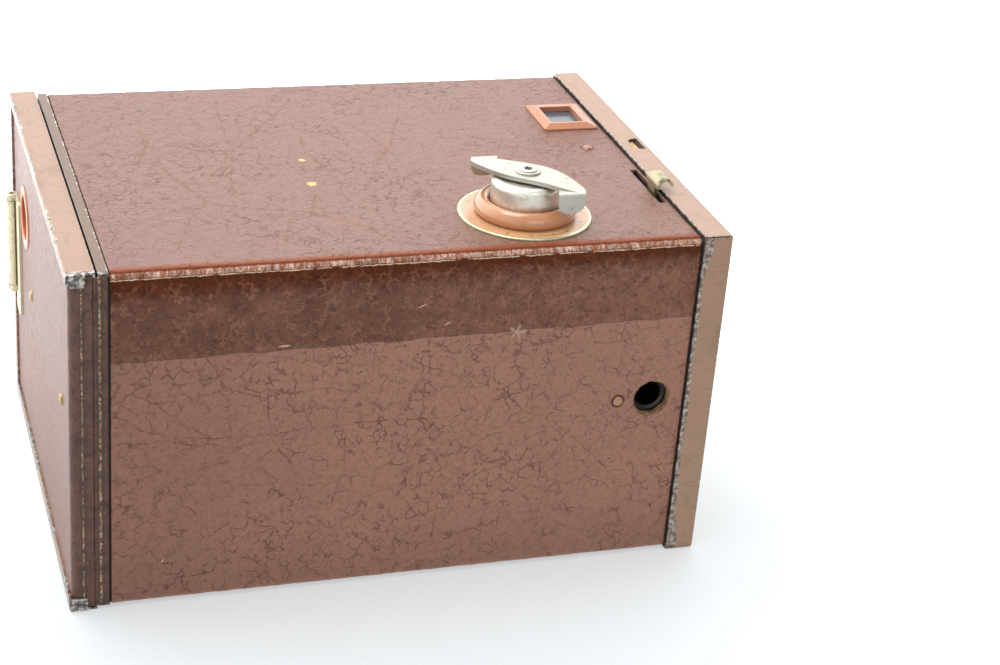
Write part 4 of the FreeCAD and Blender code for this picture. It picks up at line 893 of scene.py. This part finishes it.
def strip(name, prof, z0, z1, mat, thick, step, bumpf):
    nz_ = max(4, int((z1 - z0) / step))
    zs = [z0, z0 + 0.12, z0 + 0.4] + [z0 + 0.4 + (z1 - z0 - 0.8) * i / nz_ for i in range(1, nz_)] + [z1 - 0.4, z1 - 0.12, z1]
    n = len(prof)
    verts, faces = [], []
    for z in zs:
        end = min(z - z0, z1 - z)
        drop = 0.15 * max(0.0, 1 - end / 0.4) ** 2
        for (x, y, nx, ny) in prof:
            h = bumpf(x, y, z) - drop
            verts.append((x + nx * h, y + ny * h, z))
    m_ = len(zs)
    for i in range(m_ - 1):
        for j in range(n - 1):
            faces.append((i * n + j, i * n + j + 1, (i + 1) * n + j + 1, (i + 1) * n + j))
    b0 = len(verts)
    for z in zs:
        for (x, y, nx, ny) in prof:
            verts.append((x - nx * thick, y - ny * thick, z))
    for i in range(m_ - 1):
        for j in range(n - 1):
            faces.append((b0 + i * n + j + 1, b0 + i * n + j, b0 + (i + 1) * n + j, b0 + (i + 1) * n + j + 1))
        faces.append((i * n, (i + 1) * n, b0 + (i + 1) * n, b0 + i * n))
        faces.append(((i + 1) * n + n - 1, i * n + n - 1, b0 + i * n + n - 1, b0 + (i + 1) * n + n - 1))
    for j in range(n - 1):
        faces.append((j + 1, j, b0 + j, b0 + j + 1))
        e = (m_ - 1) * n
        faces.append((e + j, e + j + 1, b0 + e + j + 1, b0 + e + j))
    o = make(name, verts, faces, mat)
    bm = bmesh.new()
    bm.from_mesh(o.data)
    bmesh.ops.recalc_face_normals(bm, faces=bm.faces)
    bm.to_mesh(o.data)
    bm.free()
    return o


def ridge(x, y, z, centre, width, height):
    wob = 0.35 * noise.noise(Vector((0.3, z * 0.16, 1.7)))
    d = (x - centre + wob) / width
    brk = 0.65 + 0.55 * noise.noise(Vector((3.1, z * 0.45, 0.2)))
    return height * math.exp(-d * d) * brk


def back_bump(x, y, z):
    h = grain((x, y, z), 0.8)
    if y < 1.2:
        h = h * 0.8 + ridge(x, y, z, 3.2, 0.45, 0.16) - 0.08 * math.exp(-((x - 4.4) / 0.5) ** 2)
    return h


back_leather = strip("covering_back", profile_back(), 0.75, W - 0.75, MAT["leather_back"], 0.5, 0.9, back_bump)
cuts = [cutter_cyl("x", (-3.0, 80.0, 60.5), 7.72, 6.0, 96),
        cutter_cyl("x", (-3.0, 69.0, 44.8), 1.0, 6.0, 32),
        cutter_cyl("x", (-3.0, 12.9, 47.0), 1.0, 6.0, 32)]
bool_cut(back_leather, cuts)
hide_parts("back_covering")
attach(back_leather, "back")


def hinge_bump(x, y, z):
    h = grain((x, y, z), 0.8) + ridge(x, y, z, 7.0, 0.5, 0.17) - 0.07 * math.exp(-((x - 6.0) / 0.45) ** 2)
    h += 0.05 * noise.noise(Vector((x * 0.8, 2.0, z * 0.9)))
    return h


hp = [(5.7 + 3.05 * i / 16.0, 0.5, 0.0, -1.0) for i in range(17)]
hinge = strip("cloth_hinge", hp, 0.9, W - 1.0, MAT["leather_hinge"], 0.45, 0.7, hinge_bump)
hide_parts("hinge_cloth")
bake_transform(hinge)


# ------------------------------------------------------------------------------------------------
# leatherette panel on the front
# ------------------------------------------------------------------------------------------------
def build_front_cover():
    y0, y1, z0, z1, r = 8.0, H - 8.0, 8.0, W - 8.0, 5.0
    step = 0.9
    ny_, nz_ = int((y1 - y0) / step), int((z1 - z0) / step)

    def inside_map(u, v):
        """square grid to rounded rectangle"""
        y, z = y0 + (y1 - y0) * u, z0 + (z1 - z0) * v
        cy = min(max(y, y0 + r), y1 - r)
        cz = min(max(z, z0 + r), z1 - r)
        dy, dz = y - cy, z - cz
        mx = max(abs(dy), abs(dz))
        ln = math.hypot(dy, dz)
        if ln > 1e-9:
            s = mx / ln
            y, z = cy + dy * s, cz + dz * s
        return y, z
    verts, faces = [], []
    for i in range(ny_ + 1):
        for j in range(nz_ + 1):
            y, z = inside_map(i / ny_, j / nz_)
            e = min(i, j, ny_ - i, nz_ - j) * step
            h = grain((149.0, y, z), 0.7) - 0.28 * max(0.0, 1 - e / 1.0) ** 2
            verts.append((149.46 + h, y, z))
    w_ = nz_ + 1
    for i in range(ny_):
        for j in range(nz_):
            a = i * w_ + j
            faces.append((a, a + w_, a + w_ + 1, a + 1))
    b0 = len(verts)
    loop = [j for j in range(nz_ + 1)] + [i * w_ + nz_ for i in range(1, ny_ + 1)] + [ny_ * w_ + j for j in range(nz_ - 1, -1, -1)] + [i * w_ for i in range(ny_ - 1, 0, -1)]
    for a in loop:
        verts.append((149.0, verts[a][1], verts[a][2]))
    n = len(loop)
    for k in range(n):
        k2 = (k + 1) % n
        faces.append((loop[k], loop[k2], b0 + k2, b0 + k))
    faces.append(tuple(b0 + k for k in range(n)))
    o = make("covering_front", verts, faces, MAT["leather_front"])
    bm = bmesh.new()
    bm.from_mesh(o.data)
    bmesh.ops.recalc_face_normals(bm, faces=bm.faces)
    bm.to_mesh(o.data)
    bm.free()
    bool_cut(o, [cutter_cyl("x", (145.0, 53.5, 41.3), 12.2, 8.0, 96),
                 cutter_cyl("x", (145.0, 74.9, 71.6), 5.6, 8.0, 64),
                 cutter_cyl("x", (145.0, 96.1, 24.2), 5.6, 8.0, 64)])
    return o


front_cover = build_front_cover()
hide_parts("front_covering")
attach(front_cover, "camera_body")


# ------------------------------------------------------------------------------------------------
# raw card edge inside the tripod holes
# ------------------------------------------------------------------------------------------------
g = G("raw_card")
f1 = g.noise(1.2, 4.0, 0.65)
f2 = g.noise(1.0, 3.0, 0.6, vec=g.stretch(0.6, 4.0, 0.6))
colr = g.mix(g.step(f1, 0.4, 0.62), lin(92, 66, 42), lin(168, 138, 96))
colr = g.mix(g.mul(g.step(g.noise(2.6, 2.0), 0.58, 0.68), 0.8), colr, lin(214, 186, 122))
g.set(Base_Color=colr, Roughness=0.8, Normal=g.bump(g.add(g.mul(f1, 0.25), g.mul(f2, 0.12)), 1.0, 0.8))
MAT["raw_card"] = g.mat


def card_ring(name, axis, c, depth0, depth1, r0, r1):
    seg, rows = 84, 7
    verts, faces = [], []
    prof = []
    for k in range(rows + 1):
        prof.append((r0, depth0 + (depth1 - depth0) * k / rows))
    for k in range(rows, -1, -1):
        prof.append((r1, depth0 + (depth1 - depth0) * k / rows))
    n = len(prof)
    for i in range(seg):
        a = 2 * math.pi * i / seg
        for k, (r, d) in enumerate(prof):
            w = 0.10 * noise.noise(Vector((math.cos(a) * 4, math.sin(a) * 4, d * 2.0))) + 0.07 * noise.noise(Vector((math.cos(a) * 14, math.sin(a) * 14, d * 6.0)))
            rr = r + (w if k <= rows else 0.0)
            dd = d + (0.18 * noise.noise(Vector((math.cos(a) * 9, math.sin(a) * 9, 1.0))) if abs(d - depth0) < 1e-6 else 0.0)
            u, v = rr * math.cos(a), rr * math.sin(a)
            verts.append((c[0] + u, dd, c[1] + v) if axis == "y" else (c[0] + u, c[1] + v, dd))
    for i in range(seg):
        i2 = (i + 1) % seg
        for k in range(n):
            k2 = (k + 1) % n
            faces.append((i * n + k, i * n + k2, i2 * n + k2, i2 * n + k))
    o = make(name, verts, faces, MAT["raw_card"])
    bm = bmesh.new()
    bm.from_mesh(o.data)
    bmesh.ops.recalc_face_normals(bm, faces=bm.faces)
    bm.to_mesh(o.data)
    bm.free()
    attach(o, "camera_body")
    return o


card_ring("card_edge_bottom", "y", (133.7, 42.1), 0.75, 2.35, 4.25, 4.47)
card_ring("card_edge_side", "z", (133.7, 53.5), 0.75, 2.35, 4.25, 4.47)


# ------------------------------------------------------------------------------------------------
# carrying strap: padded leather with rounded edges and two rows of stitches
# ------------------------------------------------------------------------------------------------
g = G("strap_leather")
f1 = g.noise(0.9, 4.0, 0.6, 0.3)
f2 = g.voro(1.6, "SMOOTH_F1", vec=g.warp(1.2, 0.5))
crease = g.step(g.noise(1.0, 3.0, 0.6, vec=g.stretch(1.1, 0.3, 0.22)), 0.55, 0.66)
c = g.mix(f1, lin(84, 44, 28), lin(112, 62, 40))
c = g.mix(g.mul(crease, 0.5), c, lin(54, 27, 17))
c = g.mix(g.mul(g.step(g.m("ABSOLUTE", g.add(g.z, -41.3)), 5.3, 5.9), 0.7), c, lin(150, 98, 66))
g.set(Base_Color=c, Roughness=g.add(0.4, g.mul(f1, 0.15)), Normal=g.bump(g.add(g.mul(f2, -0.06), g.mul(crease, -0.10), g.mul(f1, 0.05)), 1.0, 0.8))
MAT["strap"] = g.mat
g = G("strap_thread")
tw = g.m("SINE", g.mul(g.add(g.x, g.z), 9.0))
g.set(Base_Color=g.mix(g.noise(0.8, 2.0), lin(186, 160, 118), lin(208, 186, 146)), Roughness=0.75, Normal=g.bump(tw, 0.05, 0.6))
MAT["thread"] = g.mat
X0S, X1S, Y0S = 40.5, 104.5, 107.95


def strap_mid(x):
    t = (x - X0S) / (X1S - X0S)
    bow = (112.7 - 2.2 - Y0S) * math.sin(math.pi * min(1, max(0, (t - 0.1) / 0.8))) ** 2
    return Y0S + bow


def build_strap():
    nx = 96
    sec = []
    hw, th = 6.0, 2.15
    for i in range(28):
        a = 2 * math.pi * i / 28
        ca, sa = math.cos(a), math.sin(a)
        u = hw * math.copysign(abs(ca) ** 0.28, ca)
        v = (th / 2) * math.copysign(abs(sa) ** 0.42, sa) * (1.0 if sa < 0 else 1.0)
        sec.append((u, v))
    verts, faces = [], []
    n = len(sec)
    for k in range(nx + 1):
        x = X0S + (X1S - X0S) * k / nx
        y = strap_mid(x)
        sl = (strap_mid(min(x + 0.2, X1S)) - strap_mid(max(x - 0.2, X0S))) / 0.4
        ln = math.hypot(1, sl)
        tx, ty = 1 / ln, sl / ln
        e = min(x - X0S, X1S - x)
        sh = 1.0 - 0.25 * max(0.0, 1 - e / 1.2) ** 2
        for (u, v) in sec:
            crown = 0.10 * (1 - (u / hw) ** 2)
            groove = -0.16 * math.exp(-((abs(u) - 4.55) / 0.35) ** 2)
            d = v * sh + (crown + groove if v > 0 else 0.0) * sh - 0.05
            w = u * (0.985 + 0.012 * noise.noise(Vector((x * 0.12, 0.3, u * 0.05))))
            verts.append((x - ty * d, y + th / 2 + tx * d, 41.3 + w * sh))
    for k in range(nx):
        for i in range(n):
            j = (i + 1) % n
            faces.append((k * n + i, k * n + j, (k + 1) * n + j, (k + 1) * n + i))
    faces.append(tuple(reversed(range(n))))
    faces.append(tuple(nx * n + i for i in range(n)))
    o = make("strap_leather", verts, faces, MAT["strap"])
    bm = bmesh.new()
    bm.from_mesh(o.data)
    bmesh.ops.recalc_face_normals(bm, faces=bm.faces)
    bm.to_mesh(o.data)
    bm.free()
    return o


def build_stitches():
    verts, faces = [], []
    for side in (-1, 1):
        x = X0S + 1.6
        while x < X1S - 2.6:
            base = len(verts)
            seg, rows = 6, 5
            for k in range(rows + 1):
                t = k / rows
                xx = x + 1.25 * t
                y = strap_mid(xx) + 2.15 - 0.10 + 0.16 * math.sin(math.pi * t)
                z = 41.3 + side * 4.55 * 0.985 + 0.05 * (t - 0.5)
                rr = 0.15 + 0.10 * math.sin(math.pi * min(max(t, 0.08), 0.92))
                for s in range(seg):
                    a = 2 * math.pi * s / seg
                    verts.append((xx, y + rr * 0.7 * math.sin(a), z + rr * math.cos(a)))
            for k in range(rows):
                for s in range(seg):
                    s2 = (s + 1) % seg
                    faces.append((base + k * seg + s, base + k * seg + s2, base + (k + 1) * seg + s2, base + (k + 1) * seg + s))
            faces.append(tuple(base + s for s in reversed(range(seg))))
            faces.append(tuple(base + rows * seg + s for s in range(seg)))
            x += 1.75
    o = make("strap_stitches", verts, faces, MAT["thread"])
    bm = bmesh.new()
    bm.from_mesh(o.data)
    bmesh.ops.recalc_face_normals(bm, faces=bm.faces)
    bm.to_mesh(o.data)
    bm.free()
    return o


def build_coil(name, cx, cy, z0, z1, radius, wire, turns, mat):
    """round-wire coil, closed and flattened end turns"""
    seg, rows = 12, int(turns * 40)
    verts, faces = [], []
    for k in range(rows + 1):
        t = k / rows
        a = 2 * math.pi * turns * t
        e = min(t, 1 - t) * turns
        tt = t
        if e < 0.75:
            lead = 0.5 * (e / 0.75) ** 2 * 0.75 / turns
            tt = lead if t < 0.5 else 1 - lead
        else:
            tt = (t * turns - 0.375) / (turns - 0.75) * (1 - 0.75 / turns) + 0.375 / turns
        z = z0 + (z1 - z0) * min(1.0, max(0.0, tt))
        for i in range(seg):
            b = 2 * math.pi * i / seg
            r = radius + wire / 2 * math.cos(b)
            verts.append((cx + r * math.cos(a), cy + r * math.sin(a), z + wire / 2 * math.sin(b)))
    for k in range(rows):
        for i in range(seg):
            j = (i + 1) % seg
            faces.append((k * seg + i, k * seg + j, (k + 1) * seg + j, (k + 1) * seg + i))
    faces.append(tuple(reversed(range(seg))))
    faces.append(tuple(rows * seg + i for i in range(seg)))
    return make(name, verts, faces, mat)


coil_piece = build_coil("key_spring_coil", KEY_X, KEY_Y, 81.1, 89.4, 5.45, 0.7, 4.5, MAT["dark_steel"])
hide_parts("key_spring")
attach(coil_piece, "camera_body")
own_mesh(coil_piece)

def build_wire(name, pts, r, mat):
    """round wire bent through a list of points"""
    path = []
    for k, (a, b) in enumerate(zip(pts[:-1], pts[1:])):
        a, b = Vector(a), Vector(b)
        n_ = max(3, int((b - a).length / 0.4))
        path += [a.lerp(b, i / n_) for i in range(n_)]
    path.append(Vector(pts[-1]))
    for _ in range(3):
        path = [path[0]] + [(path[i - 1] + path[i] * 2 + path[i + 1]) / 4 for i in range(1, len(path) - 1)] + [path[-1]]
    verts, faces, seg = [], [], 10
    side = None
    for i, q in enumerate(path):
        t = (path[min(i + 1, len(path) - 1)] - path[max(i - 1, 0)]).normalized()
        side = t.orthogonal().normalized() if side is None else (side - t * side.dot(t)).normalized()
        up_ = t.cross(side)
        for k in range(seg):
            b = 2 * math.pi * k / seg
            verts.append(tuple(q + side * (r * math.cos(b)) + up_ * (r * math.sin(b))))
    for i in range(len(path) - 1):
        for k in range(seg):
            j = (k + 1) % seg
            faces.append((i * seg + k, i * seg + j, (i + 1) * seg + j, (i + 1) * seg + k))
    faces.append(tuple(reversed(range(seg))))
    faces.append(tuple((len(path) - 1) * seg + k for k in range(seg)))
    return make(name, verts, faces, mat)


LUG = (53.5 - 16.0 * math.sin(math.radians(75)), 29.8 + 16.0 * math.cos(math.radians(75)))
MID = (139.05, 36.3, 38.2)
wire_a = build_wire("shutter_spring_lever_end", [(140.9, 31.3, 46.5), (139.05, 31.3, 46.5), (139.05, 34.5, 42.5), MID], 0.22, MAT["steel"])
wire_b = build_wire("shutter_spring_disc_end", [MID, (139.05, LUG[0], LUG[1]), (137.7, LUG[0], LUG[1])], 0.22, MAT["steel"])
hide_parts("shutter_spring")
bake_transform(wire_a)
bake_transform(wire_b)

strap = build_strap()
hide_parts("handle_strap")
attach(strap, "camera_body")
stitches = build_stitches()
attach(stitches, "camera_body")
for piece in (strap, stitches):
    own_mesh(piece)


# ------------------------------------------------------------------------------------------------
# floor, world and lamps
# ------------------------------------------------------------------------------------------------
bm = bmesh.new()
S = 4.0
n = 24
grid = [[bm.verts.new((-S + 2 * S * i / n, -S + 2 * S * j / n, -0.00002)) for j in range(n + 1)] for i in range(n + 1)]
for i in range(n):
    for j in range(n):
        bm.faces.new((grid[i][j], grid[i + 1][j], grid[i + 1][j + 1], grid[i][j + 1]))
me = bpy.data.meshes.new("floor")
bm.to_mesh(me)
bm.free()
floor = bpy.data.objects.new("floor", me)
SCENE.collection.objects.link(floor)
fm = bpy.data.materials.new("floor_paper")
fm.use_nodes = True
ft = fm.node_tree
fb = ft.nodes["Principled BSDF"]
tc = ft.nodes.new("ShaderNodeTexCoord")
sx = ft.nodes.new("ShaderNodeSeparateXYZ")
ft.links.new(tc.outputs["Object"], sx.inputs[0])
mr = ft.nodes.new("ShaderNodeMapRange")
mr.interpolation_type = "SMOOTHSTEP"
ft.links.new(sx.outputs[1], mr.inputs["Value"])
mr.inputs["From Min"].default_value = -0.16
mr.inputs["From Max"].default_value = 0.25
# floor colour painted darker towards the front: painted shade across the floor
floor_shade_ramp = ft.nodes.new("ShaderNodeMix")
floor_shade_ramp.data_type = "RGBA"
ft.links.new(mr.outputs[0], floor_shade_ramp.inputs[0])
floor_shade_ramp.inputs[6].default_value = (0.32, 0.34, 0.35, 1)
floor_shade_ramp.inputs[7].default_value = (0.60, 0.60, 0.60, 1)
ft.links.new(floor_shade_ramp.outputs[2], fb.inputs["Base Color"])
# painted light: the floor glows, more and more towards the back, standing for the studio light falling on it
floor_glow_ramp = ft.nodes.new("ShaderNodeMapRange")
floor_glow_ramp.interpolation_type = "SMOOTHSTEP"
ft.links.new(sx.outputs[1], floor_glow_ramp.inputs["Value"])
floor_glow_ramp.inputs["From Min"].default_value = -0.05
floor_glow_ramp.inputs["From Max"].default_value = 0.40
floor_glow_ramp.inputs["To Min"].default_value = 0.47
floor_glow_ramp.inputs["To Max"].default_value = 2.40
ft.links.new(floor_glow_ramp.outputs[0], fb.inputs["Emission Strength"])
fb.inputs["Emission Color"].default_value = (0.95, 0.98, 1.0, 1)
fb.inputs["Roughness"].default_value = 0.6
fb.inputs["Specular IOR Level"].default_value = 0.2
floor.data.materials.append(fm)

world = bpy.data.worlds.new("studio")
SCENE.world = world
world.use_nodes = True
wt = world.node_tree
wt.nodes.clear()
wo = wt.nodes.new("ShaderNodeOutputWorld")
bg = wt.nodes.new("ShaderNodeBackground")
wt.links.new(bg.outputs[0], wo.inputs[0])
tcw = wt.nodes.new("ShaderNodeTexCoord")
sxw = wt.nodes.new("ShaderNodeSeparateXYZ")
wt.links.new(tcw.outputs["Generated"], sxw.inputs[0])


def wmap(sock, a, b, c, d):
    n_ = wt.nodes.new("ShaderNodeMapRange")
    n_.interpolation_type = "SMOOTHSTEP"
    wt.links.new(sock, n_.inputs["Value"])
    for k_, v_ in zip(("From Min", "From Max", "To Min", "To Max"), (a, b, c, d)):
        n_.inputs[k_].default_value = v_
    return n_.outputs[0]


def wmath(op, a, b):
    n_ = wt.nodes.new("ShaderNodeMath")
    n_.operation = op
    for i_, v_ in enumerate((a, b)):
        if isinstance(v_, bpy.types.NodeSocket):
            wt.links.new(v_, n_.inputs[i_])
        else:
            n_.inputs[i_].default_value = v_
    return n_.outputs[0]


back = wmap(sxw.outputs[1], -0.15, 0.65, 0.0, 1.0)       # behind the camera body
left = wmap(sxw.outputs[0], 0.15, -0.75, 0.0, 1.0)       # on its hinged side
up = wmap(sxw.outputs[2], 0.35, 0.95, 0.0, 1.0)
st = wmath("ADD", 0.50, wmath("MULTIPLY", back, 1.75))
st = wmath("ADD", st, wmath("MULTIPLY", left, 0.75))
st = wmath("ADD", st, wmath("MULTIPLY", up, 0.15))
wt.links.new(st, bg.inputs["Strength"])
bg.inputs["Color"].default_value = (1.0, 1.0, 1.0, 1)


def area(name, loc, target, size, sizey, power, color=(1, 1, 1)):
    d = bpy.data.lights.new(name, "AREA")
    d.shape = "RECTANGLE"
    d.size, d.size_y = size, sizey
    d.energy = power
    d.color = color
    o = bpy.data.objects.new(name, d)
    SCENE.collection.objects.link(o)
    o.location = loc
    o.rotation_euler = (Vector(target) - Vector(loc)).to_track_quat("-Z", "Y").to_euler()
    return o


area("softbox_top", (-0.15, 0.10, 0.95), (0, 0, 0.04), 0.55, 0.40, 4.0)
area("softbox_front", (0.15, -0.75, 0.55), (0, 0, 0.04), 0.5, 0.4, 1.0)
